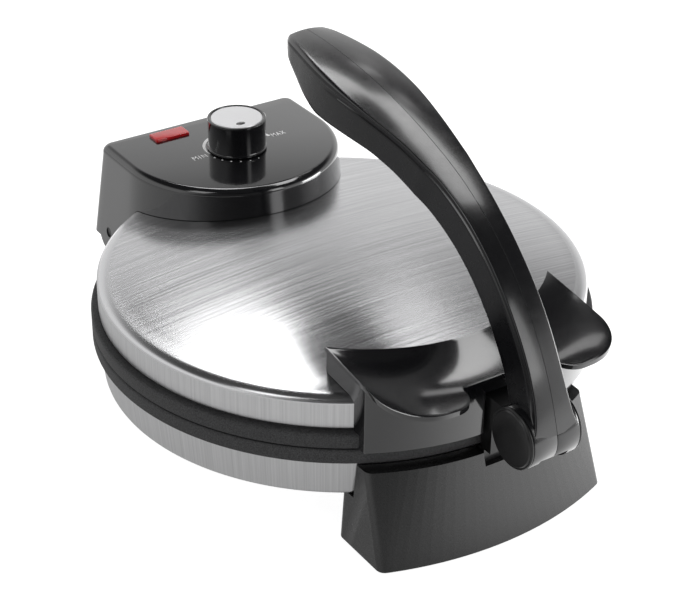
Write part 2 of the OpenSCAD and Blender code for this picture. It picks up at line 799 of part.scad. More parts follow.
module cord_gland() {
  color([0.07, 0.07, 0.07]) translate([0, gland_face_y + gland_flange_t, gland_z])
    along_front() difference() {
      union() {
        cylinder(r = gland_flange_r, h = gland_flange_t);
        cylinder(r = gland_r, h = gland_face_y + gland_flange_t - gland_inner_y);
      }
      translate([0, 0, -1]) cylinder(r = cord_bore_r, h = 40);
    }
}

// Half section of the lid's outer face, grown outwards by some clearance
function lid_edge(grow) = [
  for (i = [0:8]) [
    lid_rim_r + (shoulder_w + grow) * cos(i * 90 / 8),
    shoulder_z + (shoulder_h + grow) * sin(i * 90 / 8)
  ]
];

function lid_dome(grow) = [
  for (i = [1:6]) [lid_rim_r * (1 - i / 6), lid_height(lid_rim_r * (1 - i / 6)) + grow]
];

module lid_shell() {
  color([0.75, 0.75, 0.76]) difference() {
    rotate_extrude() polygon(concat(
      [[lid_r, lid_wall_z]], lid_edge(0), lid_dome(0),
      [for (i = [5:-1:0]) lid_dome(-sheet_t)[i]],
      [for (i = [8:-1:0]) lid_edge(-sheet_t)[i]],
      [[lid_r - sheet_t, lid_wall_z]]
    ));
    for (hole = housing_holes) at_corners(hole[0], hole[1]) translate([0, 0, lid_rim_z - 8])
      cylinder(r = screw_r + screw_play, h = 20);
    for (side = [-1, 1]) translate([side * handle_hole_x, -lid_rim_r + 10, handle_hole_z])
      along_front() cylinder(r = screw_r + screw_play, h = 30);
  }
}

// Everything inside the closed lid and the rings, grown by the clearance round them
module lid_envelope() {
  rotate_extrude() polygon(concat(
    [[0, 40], [ring_r + lid_clear, 40], [ring_r + lid_clear, upper_ring_top_z + lid_clear],
     [lid_r + lid_clear, upper_ring_top_z + lid_clear]],
    lid_edge(lid_clear), lid_dome(lid_clear)
  ));
}

// Plan of the handle's top, run back past its curved edge
module wing_plan() {
  notch_y = wing_reach - notch_depth;
  right = concat(
    [[0, -notch_y], [notch_half_w - 2, -notch_y], [notch_half_w, -notch_y - 2]],
    arc([notch_half_w + wing_inner_r, -wing_reach + wing_inner_r], wing_inner_r, 180, 270, 10),
    arc([wing_half_w - wing_corner_r, -wing_reach + wing_corner_r], wing_corner_r, 270, 360, 12),
    [[wing_half_w, -dish_y - 40], [0, -dish_y - 40]]
  );
  polygon(right);
  mirror([1, 0]) polygon(right);
}

// Height of the dish's upper face: round in the middle, an even slope at the outer ends
function dish_height(x, r) = let (
    dish_z = dish_low_z + dish_r - sqrt(pow(dish_r, 2) - pow(r - dish_low_r, 2)),
    slope_z = wing_back_z - wing_fall * (r - dish_back_r)
  ) dish_z + (slope_z - dish_z) * pow(x / wing_half_w, 2);

// Dished sheet from some depth below the dish's upper face to some height above it
module dish(depth, rise) {
  turns = [for (angle = [-50:2.5:50]) angle];
  reaches = [for (i = [0:15]) dish_back_r - 2 + i * 4.2];
  n = len(turns);
  m = len(reaches);
  function spot(i, k, lift) = let (x = reaches[i] * sin(turns[k]))
    [x, -dish_y - reaches[i] * cos(turns[k]), dish_height(x, reaches[i]) + lift];
  points = concat(
    [for (i = [0:m - 1], k = [0:n - 1]) spot(i, k, rise)],
    [for (i = [0:m - 1], k = [0:n - 1]) spot(i, k, -depth)]
  );
  low = m * n;
  quads = concat(
    [for (i = [0:m - 2], k = [0:n - 2])
      [i * n + k, (i + 1) * n + k, (i + 1) * n + k + 1, i * n + k + 1]],
    [for (i = [0:m - 2], k = [0:n - 2])
      [low + i * n + k, low + i * n + k + 1, low + (i + 1) * n + k + 1, low + (i + 1) * n + k]],
    [for (k = [0:n - 2]) [k, k + 1, low + k + 1, low + k]],
    [for (k = [0:n - 2])
      [(m - 1) * n + k + 1, (m - 1) * n + k, low + (m - 1) * n + k, low + (m - 1) * n + k + 1]],
    [for (i = [0:m - 2]) [(i + 1) * n, i * n, low + i * n, low + (i + 1) * n]],
    [for (i = [0:m - 2])
      [i * n + n - 1, (i + 1) * n + n - 1, low + (i + 1) * n + n - 1, low + i * n + n - 1]]
  );
  polyhedron(points = points, faces = [for (q = quads) each [
    [q[0], q[2], q[1]], [q[0], q[3], q[2]]
  ]]);
}

// Plan of the handle's walls: back, ends and apron
module handle_wall_plan(inset) {
  intersection() {
    translate([-wing_half_w + 0.5 + inset, -ring_r - 20])
      square([2 * (wing_half_w - 0.5 - inset), 100]);
    circle(r = ring_r + apron_gap + apron_t - inset);
    difference() {
      translate([0, -dish_y]) circle(r = 300);
      translate([0, -dish_y]) circle(r = dish_back_r + inset);
    }
  }
}

module wing_handle() {
  color([0.06, 0.06, 0.065]) difference() {
    union() {
      intersection() {
        dish(wing_t, 0);
        difference() {
          linear_extrude(height = 200) wing_plan();
          translate([0, -dish_y, 0]) cylinder(r = dish_back_r, h = 300);
        }
      }
      difference() {
        translate([0, 0, split_z + ring_gap / 2]) linear_extrude(height = 50) difference() {
          handle_wall_plan(0);
          handle_wall_plan(apron_t);
        }
        dish(wing_t / 2, 2 * wing_half_w);
      }
      for (side = [-1, 1]) translate([side * handle_hole_x, -lid_rim_r + 5, handle_hole_z])
        along_front() cylinder(r = boss_r, h = ring_r - lid_rim_r - 9);
    }
    lid_envelope();
    translate([-slot_half_w, -wing_reach, split_z - ring_h])
      cube([2 * slot_half_w, wing_reach - lid_rim_r, slot_top_z - split_z + ring_h]);
    for (side = [-1, 1]) translate([side * handle_hole_x, -lid_rim_r + 5, handle_hole_z])
      along_front() cylinder(r = screw_r + thread_play, h = ring_r - lid_rim_r - 9);
  }
}

module handle_screws() {
  head_y = sqrt(pow(lid_r - sheet_t, 2) - pow(handle_hole_x + screw_head_r, 2)) - 0.2;
  color([0.6, 0.6, 0.6]) for (side = [-1, 1])
    translate([side * handle_hole_x, -head_y, handle_hole_z]) along_front()
      screw(screw_r, screw_head_r, screw_head_h, handle_screw_l);
}

// One level of the housing: nose circle, flat sides and rounded back corners
module housing_level(half_w, front_y, back_y, inset) {
  corner = 7 - inset;
  w = half_w - inset;
  intersection() {
    translate([0, front_y + half_w]) circle(r = w, $fn = 96);
    translate([-w, 0]) square([2 * w, front_y + half_w]);
  }
  for (side = [-1, 1]) translate([side * (w - corner), back_y - inset - corner])
    circle(r = corner, $fn = 24);
}

module housing_solid(inset, top_z) {
  round_r = housing_round - min(inset, housing_round - 1);
  slope = (housing_back_foot_y - housing_back_y) / (housing_top_z - housing_round - housing_foot_z);
  low_z = hinge_z - hinge_ear_r - 1;
  hull() {
    translate([0, 0, low_z]) linear_extrude(height = 0.01)
      housing_level(housing_foot_half_w, nose_y + housing_half_w - housing_foot_half_w,
                    housing_back_foot_y + slope * (housing_foot_z - low_z), inset);
    for (angle = [0, 20, 40, 60, 75, 90])
      translate([0, 0, top_z - round_r + round_r * sin(angle) - 0.01])
        linear_extrude(height = 0.01)
          housing_level(housing_half_w, nose_y, housing_back_y,
                        inset + round_r * (1 - cos(angle)));
  }
}

// Side view of what the housing leaves open below
module housing_cut_view() {
  difference() {
    translate([0, 0]) square([300, 89]);
    translate([hinge_y - 12, housing_foot_z]) square([100, 60]);
    translate([0, housing_side_z]) square([300, 60]);
    translate([hinge_y, hinge_z]) circle(r = hinge_ear_r);
  }
}

module control_housing() {
  color([0.06, 0.06, 0.065]) difference() {
    union() {
      difference() {
        housing_solid(0, housing_top_z);
        housing_solid(housing_wall, housing_ceiling_z);
      }
      for (hole = housing_holes) at_corners(hole[0], hole[1])
        translate([0, 0, base_plate_z + base_plate_t])
          cylinder(r = boss_r, h = housing_ceiling_z - base_plate_z - base_plate_t + 0.5);
    }
    lid_envelope();
    side_slab(-100, 100) housing_cut_view();
    translate([-100, hinge_y, hinge_z]) along_x()
      cylinder(r = hinge_pin_r + pin_play, h = 200);
    for (hole = housing_holes) at_corners(hole[0], hole[1])
      translate([0, 0, base_plate_z]) cylinder(r = screw_r + thread_play, h = 10);
    translate([0, dial_y, housing_top_z - 10]) cylinder(r = spindle_r + 0.6, h = 20);
    translate([-lamp_x - lamp_stem[0] / 2 - 0.1, lamp_y - lamp_stem[1] / 2 - 0.1,
               housing_top_z - 10]) cube([lamp_stem[0] + 0.2, lamp_stem[1] + 0.2, 20]);
  }
}

module housing_base() {
  color([0.2, 0.2, 0.2]) difference() {
    union() {
      intersection() {
        housing_solid(housing_wall + fit, housing_ceiling_z);
        translate([-100, 0, base_plate_z]) cube([200, 250, base_plate_t]);
      }
      for (hole = housing_holes) at_corners(hole[0], hole[1])
        translate([0, 0, base_plate_z - base_boss_l]) cylinder(r = boss_r, h = base_boss_l);
    }
    lid_envelope();
    for (hole = housing_holes) at_corners(hole[0], hole[1])
      translate([0, 0, base_plate_z - 2 * base_boss_l])
        cylinder(r = screw_r + screw_play, h = 4 * base_boss_l);
  }
}

module housing_screws() {
  color([0.6, 0.6, 0.6]) for (hole = housing_holes) at_corners(hole[0], hole[1])
    translate([0, 0, lid_height(norm(hole) + screw_head_r) - sheet_t - 0.1])
      screw(screw_r, screw_head_r, screw_head_h, base_plate_z + base_plate_t
            + housing_screw_bite - lid_height(norm(hole) + screw_head_r) + sheet_t);
}

module thermostat() {
  body_top_z = housing_ceiling_z - thermostat_neck_h;
  color([0.75, 0.75, 0.72]) difference() {
    union() {
      translate([-thermostat_size[0] / 2, dial_y - thermostat_size[1] / 2,
                 body_top_z - thermostat_size[2]]) cube(thermostat_size);
      translate([0, dial_y, body_top_z - 1]) cylinder(r = thermostat_neck_r, h = thermostat_neck_h + 1);
    }
    translate([0, dial_y, spindle_foot_z - 0.3])
      cylinder(r = spindle_r + pin_play, h = housing_top_z - spindle_foot_z);
  }
}

module lamp_lens() {
  color([0.75, 0.1, 0.1]) translate([-lamp_x, lamp_y, 0]) {
    translate([-lamp_w / 2, -lamp_d / 2, housing_top_z]) cube([lamp_w, lamp_d, lamp_proud]);
    translate([-lamp_stem[0] / 2, -lamp_stem[1] / 2, housing_top_z - lamp_stem_h])
      cube([lamp_stem[0], lamp_stem[1], lamp_stem_h]);
  }
}

module lamp_body() {
  color([0.9, 0.9, 0.88])
    translate([-lamp_x - lamp_stem[0] / 2, lamp_y - lamp_stem[1] / 2,
               housing_top_z - lamp_stem_h - lamp_body_h])
      cube([lamp_stem[0], lamp_stem[1], lamp_body_h]);
}

module knob() {
  color([0.05, 0.05, 0.055]) translate([0, dial_y, 0]) difference() {
    translate([0, 0, knob_z]) cylinder(r = knob_r, h = knob_h);
    translate([0, 0, knob_z + knob_h - disc_t]) cylinder(r = knob_disc_r + 0.1, h = 5);
    translate([0, 0, knob_z - 1]) cylinder(r = spindle_r + thread_play, h = spindle_head_z - knob_z + 1.3);
  }
}

module knob_disc() {
  mark_r = 8.7;
  mark_angle = 250;
  color([0.82, 0.82, 0.83]) translate([0, dial_y, knob_z + knob_h - disc_t]) difference() {
    cylinder(r = knob_disc_r, h = disc_t);
    rotate([0, 0, mark_angle]) translate([mark_r - 0.8, -1.8, disc_t / 2]) cube([1.6, 3.6, 2]);
  }
}

module thermostat_spindle() {
  color([0.7, 0.7, 0.7]) translate([0, dial_y, spindle_foot_z])
    cylinder(r = spindle_r, h = spindle_head_z - spindle_foot_z);
}

// How much the lever is drawn in by its rounded tip
function tip_inset(angle) = let (
    left = max(tip_round - 1 - (angle - tip_angle) * PI / 180 * lever_back_r, 0)
  ) tip_round - sqrt(pow(tip_round, 2) - pow(left, 2));

// Points round the lever at an angle from upright, some way inside its skin
function lever_ring(angle, inset) = let (
    gap = inset + tip_inset(angle),
    w = lever_neck_half_w + lookup(angle, lever_flare) - gap,
    h = gap + lookup(angle, lever_drop),
    d = depth_at(angle) - gap,
    half = [[w * 0.5, gap + (h - gap) * 0.25], [w - 2.2, h], [w - 0.7, h + 0.8],
            [w, h + 2.4], [w, d - 2.4], [w - 0.9, d - 0.8], [w - 2.8, d]],
    flank = [for (q = half) [q[0], each crown(angle, q[1])]],
    other = [for (i = [len(half) - 1:-1:0]) [-flank[i][0], flank[i][1], flank[i][2]]]
  ) concat([[0, each crown(angle, gap)]], flank, [[0, each crown(angle, d)]], other);

// Solid through the rings at a list of angles
module lever_skin(angles, inset) {
  rings = [for (angle = angles) lever_ring(angle, inset)];
  m = len(rings[0]);
  last = len(rings) - 1;
  sides = [
    for (i = [0:last - 1], k = [0:m - 1]) each [
      [i * m + k, (i + 1) * m + (k + 1) % m, (i + 1) * m + k],
      [i * m + k, i * m + (k + 1) % m, (i + 1) * m + (k + 1) % m]
    ]
  ];
  ends = [
    [for (k = [m - 1:-1:0]) k],
    [for (k = [0:m - 1]) last * m + k]
  ];
  polyhedron(points = [for (ring = rings) each ring], faces = concat(sides, ends));
}

module lever_block() {
  lever_skin(concat(
    [for (step = [0, 0.08, 0.2, 0.4, 0.8]) tip_angle + step],
    [for (angle = [0:1:20]) angle], [for (angle = [22.5:2.5:70]) angle],
    [root_angle - 0.5]
  ), 0);
}

module lever_post_places() {
  for (angle = lever_post_angles) {
    spot = crown(angle, depth_at(angle) / 2);
    translate([0, spot[0], spot[1]]) along_x() children();
  }
}

// Side view of the mouth that lets the barrel turn past the bracket's tongue
module mouth_view() {
  low = -tongue_rise - lever_travel - slot_margin;
  high = tongue_rise + slot_margin;
  translate([-barrel_y, barrel_z])
    polygon(concat([[0, 0]], arc([0, 0], barrel_r * 1.6, low, high, 24)));
}

// What is hollow between the lever's skin and its screw posts
module lever_hollow() {
  difference() {
    lever_skin(concat([for (angle = [2.5:1.25:20]) angle], [for (angle = [22.5:2.5:60]) angle]),
               lever_wall);
    lever_post_places() translate([0, 0, -30]) cylinder(r = lever_post_r, h = 60, $fn = 32);
  }
}

// The whole lever, still in one piece
module lever_solid() {
  end_x = barrel_half_l - barrel_cap_t;
  difference() {
    union() {
      lever_block();
      translate([-end_x, -barrel_y, barrel_z]) along_x() cylinder(r = barrel_r, h = 2 * end_x);
    }
    lever_hollow();
    side_slab(-bush_x, bush_x) mouth_view();
    translate([-bush_x, -barrel_y, barrel_z]) along_x()
      cylinder(r = barrel_hollow_r, h = 2 * bush_x);
    translate([-50, -barrel_y, barrel_z]) along_x() cylinder(r = axle_r + pin_play, h = 100);
    lever_post_places() {
      translate([0, 0, -lever_screw_end_x - 0.5])
        cylinder(r = small_screw_r + thread_play, h = lever_screw_end_x + lever_head_x + 1);
      translate([0, 0, lever_head_x]) cylinder(r = small_head_r + screw_play, h = 30);
    }
  }
}

module lever_left_half() {
  color([0.06, 0.06, 0.065]) intersection() {
    lever_solid();
    translate([-60, -300, 0]) cube([60, 600, 300]);
  }
}

module lever_right_half() {
  color([0.06, 0.06, 0.065]) intersection() {
    lever_solid();
    translate([0, -300, 0]) cube([60, 600, 300]);
  }
}

module lever_end_caps() {
  color([0.09, 0.09, 0.09]) for (side = [-1, 1]) scale([side, 1, 1])
    translate([barrel_half_l - barrel_cap_t, -barrel_y, barrel_z]) along_x()
      cylinder(r = barrel_r, h = barrel_cap_t);
}

module lever_screws() {
  color([0.6, 0.6, 0.6]) lever_post_places() {
    translate([0, 0, -lever_screw_end_x])
      cylinder(r = small_screw_r, h = lever_screw_end_x + lever_head_x);
    translate([0, 0, lever_head_x]) cylinder(r = small_head_r, h = 2);
  }
}

base_shell();
lower_ring();
lower_plate();
lower_element();
lower_reflector();
lower_plate_studs();
plate_screws();
terminal_block();
front_foot();
rear_stand();
foot_pads();
foot_screws();
lever_bracket();
bracket_screws();
lever_axle();
hinge_pins();
cord_gland();
lid_shell();
upper_ring();
upper_plate();
upper_element();
upper_reflector();
upper_plate_studs();
thermal_fuse();
wing_handle();
handle_screws();
control_housing();
housing_base();
housing_screws();
thermostat();
lamp_lens();
lamp_body();
knob();
knob_disc();
thermostat_spindle();
lever_left_half();
lever_right_half();
lever_end_caps();
lever_screws();
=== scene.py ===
"""Looks for the electric roti maker: brushed steel base and lid, gloss black lever, wings and
control housing, seen from the front left on a white floor. Shapes are drawn in millimetres and
turned to metres when a piece is finished."""

import math

import bmesh
import bpy
from mathutils import Matrix, Vector


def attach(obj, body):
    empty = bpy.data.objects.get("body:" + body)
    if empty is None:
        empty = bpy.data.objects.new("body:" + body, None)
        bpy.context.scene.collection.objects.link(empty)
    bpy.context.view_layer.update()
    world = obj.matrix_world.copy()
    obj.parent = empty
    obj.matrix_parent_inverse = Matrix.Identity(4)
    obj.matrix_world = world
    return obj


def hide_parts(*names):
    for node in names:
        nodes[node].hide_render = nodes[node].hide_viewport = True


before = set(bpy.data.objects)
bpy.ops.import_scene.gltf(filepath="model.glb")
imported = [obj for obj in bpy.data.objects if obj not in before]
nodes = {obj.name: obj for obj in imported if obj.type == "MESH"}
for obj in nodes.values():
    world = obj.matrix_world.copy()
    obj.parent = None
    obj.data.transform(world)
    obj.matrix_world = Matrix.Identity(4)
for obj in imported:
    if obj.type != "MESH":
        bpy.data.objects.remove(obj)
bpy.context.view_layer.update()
scene = bpy.context.scene

# Sizes in millimetres, as in the CAD source

RING_R = 137.5
SPLIT_Z = 61.0
LID_R = 133.5
LID_WALL_Z = 71.1
LID_SHOULDER_Z = 85.0
LID_RIM_R = 126.7
LID_RIM_Z = 88.7
LID_CROWN = 8.3
LID_GAP = 0.3
PAN_Z = 30.0
PAN_BEND = 3.0
SHEET = 1.0
BAND_TOP_R = 134.5
BAND_TOP_Z = 52.3
BAND_FOOT_R = 132.5
HINGE_Y = 146
HINGE_Z = 60
HINGE_EAR_R = 12
HINGE_BORE_R = 3.05

# Plans of the housing: half width, front and back

HOUSING_TOP_PLAN = (65.5, 57.5, 160.5)
HOUSING_FOOT_PLAN = (70.4, 52.6, 168.98)
HOUSING_FOOT_Z = 47
HOUSING_TOP_Z = 112.0
HOUSING_WALL = 2.5
HOUSING_ROLL = 4.3
HOUSING_CORNER = 7
DIAL_Y = 112.0
KNOB_GAP = 0.6
KNOB_H = 19.0
LAMP_SIZE = (22, 9.8, 1.6)
LAMP_PLACE = (-25.8, 147, HOUSING_TOP_Z + 0.8 + 0.01)
LAMP_CORNER = 0.9
LAMP_RIM = 0.45

# The wings' back edge is a circle round WING_Y, and their front edge stands out from the apron

WING_Y = -19
WING_R = 99
WING_TIP_X = 69.5
WING_WALL = 2.5
APRON_R = 142
DISH_AT = 138
DISH_R = 80
DISH_CENTRE_Z = 175
WING_END_Z = 105.2
WING_END_FALL = 0.165
BOSS_PLACE = (40, -131.2, 81)

BARREL_Y = -170.0
BARREL_Z = 77.5
BARREL_R = 16.0
BARREL = (0, BARREL_Y, BARREL_Z)
MOUTH_START = 33
MOUTH_TURN = 174

# Axes, and how near two vertices are for them to be one

UPRIGHT = (0, 0, 1)
SIDEWAYS = (1, 0, 0)
MERGE = 0.0005
CUT_MERGE = 0.002


# Camera and soft boxes, in metres

CAMERA_LENS = 92.43
CAMERA_PLACE = (-0.4749, -0.70975, 0.57304)
CAMERA_RIGHT = (0.83231, -0.55415, 0.01245)
CAMERA_UP = (0.27464, 0.43180, 0.85912)
CAMERA_AHEAD = (0.48147, 0.71165, -0.51159)

# Name, place, aim, width, height and watts
SOFT_BOXES = [
    ("far_box", (0.3, 0.71, 1.0), (0.3, 0.71, 0), 0.26, 0.46, 1.8),
    ("near_box", (0.495, 0.14, 1.0), (0.495, 0.14, 0), 0.25, 0.73, 2.4),
    ("small_box", (0.745, 0.545, 1.0), (0.745, 0.545, 0), 0.11, 0.1, 0.06),
    ("lid_box", (0.73, 0.81, 1.0), (0.73, 0.81, 0), 0.15, 0.12, 0.13),
    ("side_box", (0.92, 1.0, 1.0), (0.92, 1.0, 0), 0.16, 0.24, 0.05),
    ("left_box", (-0.75, -0.25, 1.0), (0, 0, 0.1), 0.35, 0.5, 1.1),
    ("right_box", (1.15, -0.6, 0.16), (0, -0.1, 0.05), 0.6, 0.4, 8),
    ("front_box", (0.36, -0.98, 0.54), (0, -0.16, 0.12), 0.26, 0.52, 1.0),
]


def place_camera():
    """Camera at the photograph's angle."""
    data = bpy.data.cameras.new("camera")
    data.lens = CAMERA_LENS
    data.sensor_width = 36.0
    data.sensor_fit = "HORIZONTAL"
    data.clip_start = 0.01
    data.clip_end = 50.0
    camera = bpy.data.objects.new("camera", data)
    turn = Matrix((CAMERA_RIGHT, CAMERA_UP, -Vector(CAMERA_AHEAD))).transposed().to_4x4()
    camera.matrix_world = Matrix.Translation(CAMERA_PLACE) @ turn
    scene.collection.objects.link(camera)
    scene.camera = camera


def soft_box(name, place, aim, width, height, watts):
    data = bpy.data.lights.new(name, "AREA")
    data.shape = "RECTANGLE"
    data.size = width
    data.size_y = height
    data.energy = watts
    lamp = bpy.data.objects.new(name, data)
    lamp.location = place
    lamp.rotation_euler = (Vector(aim) - Vector(place)).to_track_quat("-Z", "Y").to_euler()
    scene.collection.objects.link(lamp)


class Shading:
    """A node tree with short ways to add nodes to it."""

    def __init__(self, tree):
        self.tree = tree

    def add(self, kind, **settings):
        node = self.tree.nodes.new(kind)
        for key, value in settings.items():
            setattr(node, key, value)
        return node

    def link(self, a, b):
        self.tree.links.new(a, b)

    def maths(self, operation, *values):
        """Math node whose inputs are sockets or plain numbers."""
        node = self.add("ShaderNodeMath", operation=operation)
        for socket, value in zip(node.inputs, values):
            if isinstance(value, float):
                socket.default_value = value
            else:
                self.link(value, socket)
        return node.outputs[0]

    def remap(self, value, low, high, start=0.0, end=1.0, **settings):
        span = self.add("ShaderNodeMapRange", **settings)
        span.inputs["From Min"].default_value = start
        span.inputs["From Max"].default_value = end
        span.inputs["To Min"].default_value = low
        span.inputs["To Max"].default_value = high
        self.link(value, span.inputs["Value"])
        return span.outputs["Result"]

    def fade(self, where, direction, first, last):
        """Grey that eases from the first (position, level) to the last along a direction."""
        along = self.add("ShaderNodeVectorMath", operation="DOT_PRODUCT")
        along.inputs[1].default_value = direction
        self.link(where, along.inputs[0])
        grey = self.add("ShaderNodeValToRGB")
        grey.color_ramp.interpolation = "EASE"
        for stop, (position, level) in zip(grey.color_ramp.elements, (first, last)):
            stop.position = position
            stop.color = (level, level, level, 1)
        self.link(along.outputs["Value"], grey.inputs["Fac"])
        return grey.outputs["Color"]


def studio():
    """White behind the object, a dim room on the camera's side, and soft boxes above and beside."""
    world = bpy.data.worlds.new("studio")
    scene.world = world
    world.use_nodes = True
    sky = Shading(world.node_tree)
    sky.tree.nodes.clear()
    path = sky.add("ShaderNodeLightPath")
    mirrored = sky.maths("MAXIMUM", path.outputs["Is Camera Ray"], path.outputs["Is Glossy Ray"])
    shown = sky.maths("MAXIMUM", mirrored, path.outputs["Is Transmission Ray"])
    where = sky.add("ShaderNodeTexCoord").outputs["Generated"]
    room = sky.add("ShaderNodeMix", data_type="RGBA", blend_type="MULTIPLY")
    room.inputs["Factor"].default_value = 1.0
    sky.link(sky.fade(where, (0.12, -0.1, 1.0), (0.36, 0.9), (0.64, 0.04)), room.inputs["A"])
    sky.link(sky.fade(where, (-0.42, -0.91, 0.0), (0.55, 1), (0.92, 0.1)), room.inputs["B"])
    backdrop = sky.add("ShaderNodeMix", data_type="RGBA")
    backdrop.inputs["B"].default_value = (1, 1, 1, 1)
    sky.link(path.outputs["Is Camera Ray"], backdrop.inputs["Factor"])
    sky.link(room.outputs["Result"], backdrop.inputs["A"])
    fill = sky.add("ShaderNodeBackground")
    fill.inputs["Color"].default_value = (1, 1, 1, 1)
    fill.inputs["Strength"].default_value = 0.5
    white = sky.add("ShaderNodeBackground")
    white.inputs["Strength"].default_value = 1.0
    sky.link(backdrop.outputs["Result"], white.inputs["Color"])
    pick = sky.add("ShaderNodeMixShader")
    sky.link(shown, pick.inputs[0])
    sky.link(fill.outputs[0], pick.inputs[1])
    sky.link(white.outputs[0], pick.inputs[2])
    out = sky.add("ShaderNodeOutputWorld")
    sky.link(pick.outputs[0], out.inputs[0])
    for box in SOFT_BOXES:
        soft_box(*box)


def white_floor():
    """White floor that keeps the object's shadow, and that gloss sees darker on its left."""
    mesh = bpy.data.meshes.new("floor")
    bm = bmesh.new()
    bmesh.ops.create_grid(bm, x_segments=1, y_segments=1, size=3.0)
    bm.to_mesh(mesh)
    bm.free()
    floor = bpy.data.objects.new("floor", mesh)
    scene.collection.objects.link(floor)
    material = bpy.data.materials.new("floor_white")
    material.use_nodes = True
    cover = Shading(material.node_tree)
    cover.tree.nodes.clear()
    paint = cover.add("ShaderNodeBsdfDiffuse")
    paint.inputs["Color"].default_value = (0.6, 0.6, 0.6, 1)
    path = cover.add("ShaderNodeLightPath")
    where = cover.add("ShaderNodeTexCoord")
    parts = cover.add("ShaderNodeSeparateXYZ")
    cover.link(where.outputs["Object"], parts.inputs[0])
    across = cover.remap(
        parts.outputs["X"], 0.22, 1.15, -0.09, 0.09, interpolation_type="SMOOTHSTEP"
    )
    seen = cover.maths("MULTIPLY", path.outputs["Is Camera Ray"], 0.85)
    glow = cover.maths("MULTIPLY_ADD", path.outputs["Is Glossy Ray"], across, seen)
    lift = cover.add("ShaderNodeEmission")
    cover.link(glow, lift.inputs["Strength"])
    both = cover.add("ShaderNodeAddShader")
    cover.link(paint.outputs[0], both.inputs[0])
    cover.link(lift.outputs[0], both.inputs[1])
    out = cover.add("ShaderNodeOutputMaterial")
    cover.link(both.outputs[0], out.inputs[0])
    mesh.materials.append(material)


# Finishes


class Finish(Shading):
    """A material with its Principled shader. Noise is in grains to the metre."""

    def __init__(self, name, colour, roughness, metallic=0.0):
        self.material = bpy.data.materials.new(name)
        self.material.use_nodes = True
        super().__init__(self.material.node_tree)
        self.shader = self.tree.nodes["Principled BSDF"]
        self.set("Base Color", (*colour, 1))
        self.set("Roughness", roughness)
        self.set("Metallic", metallic)

    def set(self, socket, value):
        self.shader.inputs[socket].default_value = value

    def stretch(self, where, scale, shift=(0, 0, 0)):
        mapping = self.add("ShaderNodeMapping")
        mapping.inputs["Location"].default_value = shift
        mapping.inputs["Scale"].default_value = scale
        self.link(where, mapping.inputs["Vector"])
        return mapping.outputs["Vector"]

    def place(self, scale=(1, 1, 1), shift=(0, 0, 0)):
        """Object coordinates in metres, stretched and shifted."""
        return self.stretch(self.add("ShaderNodeTexCoord").outputs["Object"], scale, shift)

    def noise(self, where, detail=2.0, rough=0.5):
        grain = self.add("ShaderNodeTexNoise")
        grain.inputs["Scale"].default_value = 1.0
        grain.inputs["Detail"].default_value = detail
        grain.inputs["Roughness"].default_value = rough
        self.link(where, grain.inputs["Vector"])
        return grain.outputs["Fac"]

    def grain(self, fineness, detail=2.0, rough=0.5):
        """Noise that is as fine in all directions."""
        return self.noise(self.place((fineness, fineness, fineness)), detail, rough)

    def tint(self, value, dark, light):
        mix = self.add("ShaderNodeMix", data_type="RGBA")
        mix.inputs["A"].default_value = (*dark, 1)
        mix.inputs["B"].default_value = (*light, 1)
        self.link(value, mix.inputs["Factor"])
        self.link(mix.outputs["Result"], self.shader.inputs["Base Color"])

    def dull(self, value, low, high):
        """Roughness that follows a value from low to high."""
        self.link(self.remap(value, low, high), self.shader.inputs["Roughness"])

    def bump(self, value, depth, strength):
        dent = self.add("ShaderNodeBump")
        dent.inputs["Distance"].default_value = depth
        dent.inputs["Strength"].default_value = strength
        self.link(value, dent.inputs["Height"])
        self.link(dent.outputs["Normal"], self.shader.inputs["Normal"])


def brushed_across():
    """Lid top: fine straight lines along X."""
    finish = Finish("steel_brushed_across", (0.62, 0.62, 0.63), 0.3, 1.0)
    fine = finish.noise(finish.place((14, 2000, 1)), 2.0, 0.6)
    broad = finish.noise(finish.place((8, 860, 1)))
    lines = finish.remap(finish.maths("ADD", fine, broad), 0.0, 1.0, 0.6, 1.4)
    finish.tint(lines, (0.49, 0.49, 0.5), (0.74, 0.74, 0.75))
    finish.dull(lines, 0.17, 0.26)
    finish.set("Anisotropic", 0.6)
    across = finish.add("ShaderNodeCombineXYZ")
    across.inputs["Y"].default_value = 1.0
    finish.link(across.outputs[0], finish.shader.inputs["Tangent"])
    finish.bump(lines, 0.000014, 0.6)
    return finish.material


def brushed_upright():
    """Walls: fine lines up and down."""
    finish = Finish("steel_brushed_upright", (0.62, 0.62, 0.63), 0.34, 1.0)
    where = finish.add("ShaderNodeTexCoord")
    parts = finish.add("ShaderNodeSeparateXYZ")
    finish.link(where.outputs["Object"], parts.inputs[0])
    turn = finish.maths("ARCTAN2", parts.outputs["Y"], parts.outputs["X"])
    flat = finish.add("ShaderNodeCombineXYZ")
    finish.link(turn, flat.inputs["X"])
    finish.link(parts.outputs["Z"], flat.inputs["Y"])
    fine = finish.noise(finish.stretch(flat.outputs[0], (150, 8, 1)), 4.0, 0.65)
    lines = finish.remap(fine, 0.0, 1.0, 0.3, 0.7)
    finish.tint(lines, (0.53, 0.53, 0.535), (0.67, 0.67, 0.675))
    finish.dull(lines, 0.28, 0.4)
    finish.set("Anisotropic", 0.6)
    around = finish.add("ShaderNodeTangent", direction_type="RADIAL", axis="Z")
    finish.link(around.outputs[0], finish.shader.inputs["Tangent"])
    finish.bump(lines, 0.00003, 0.5)
    return finish.material


def smeared_metal(name, colour, low, high, fineness):
    """Metal without lines, slightly uneven in its gloss."""
    finish = Finish(name, colour, low, 1.0)
    finish.dull(finish.grain(fineness, 3.0), low, high)
    return finish.material


def polished_steel():
    """Rolled shoulder of the lid."""
    finish = Finish("steel_polished", (0.66, 0.66, 0.67), 0.16, 1.0)
    finish.dull(finish.grain(40), 0.2, 0.28)
    return finish.material


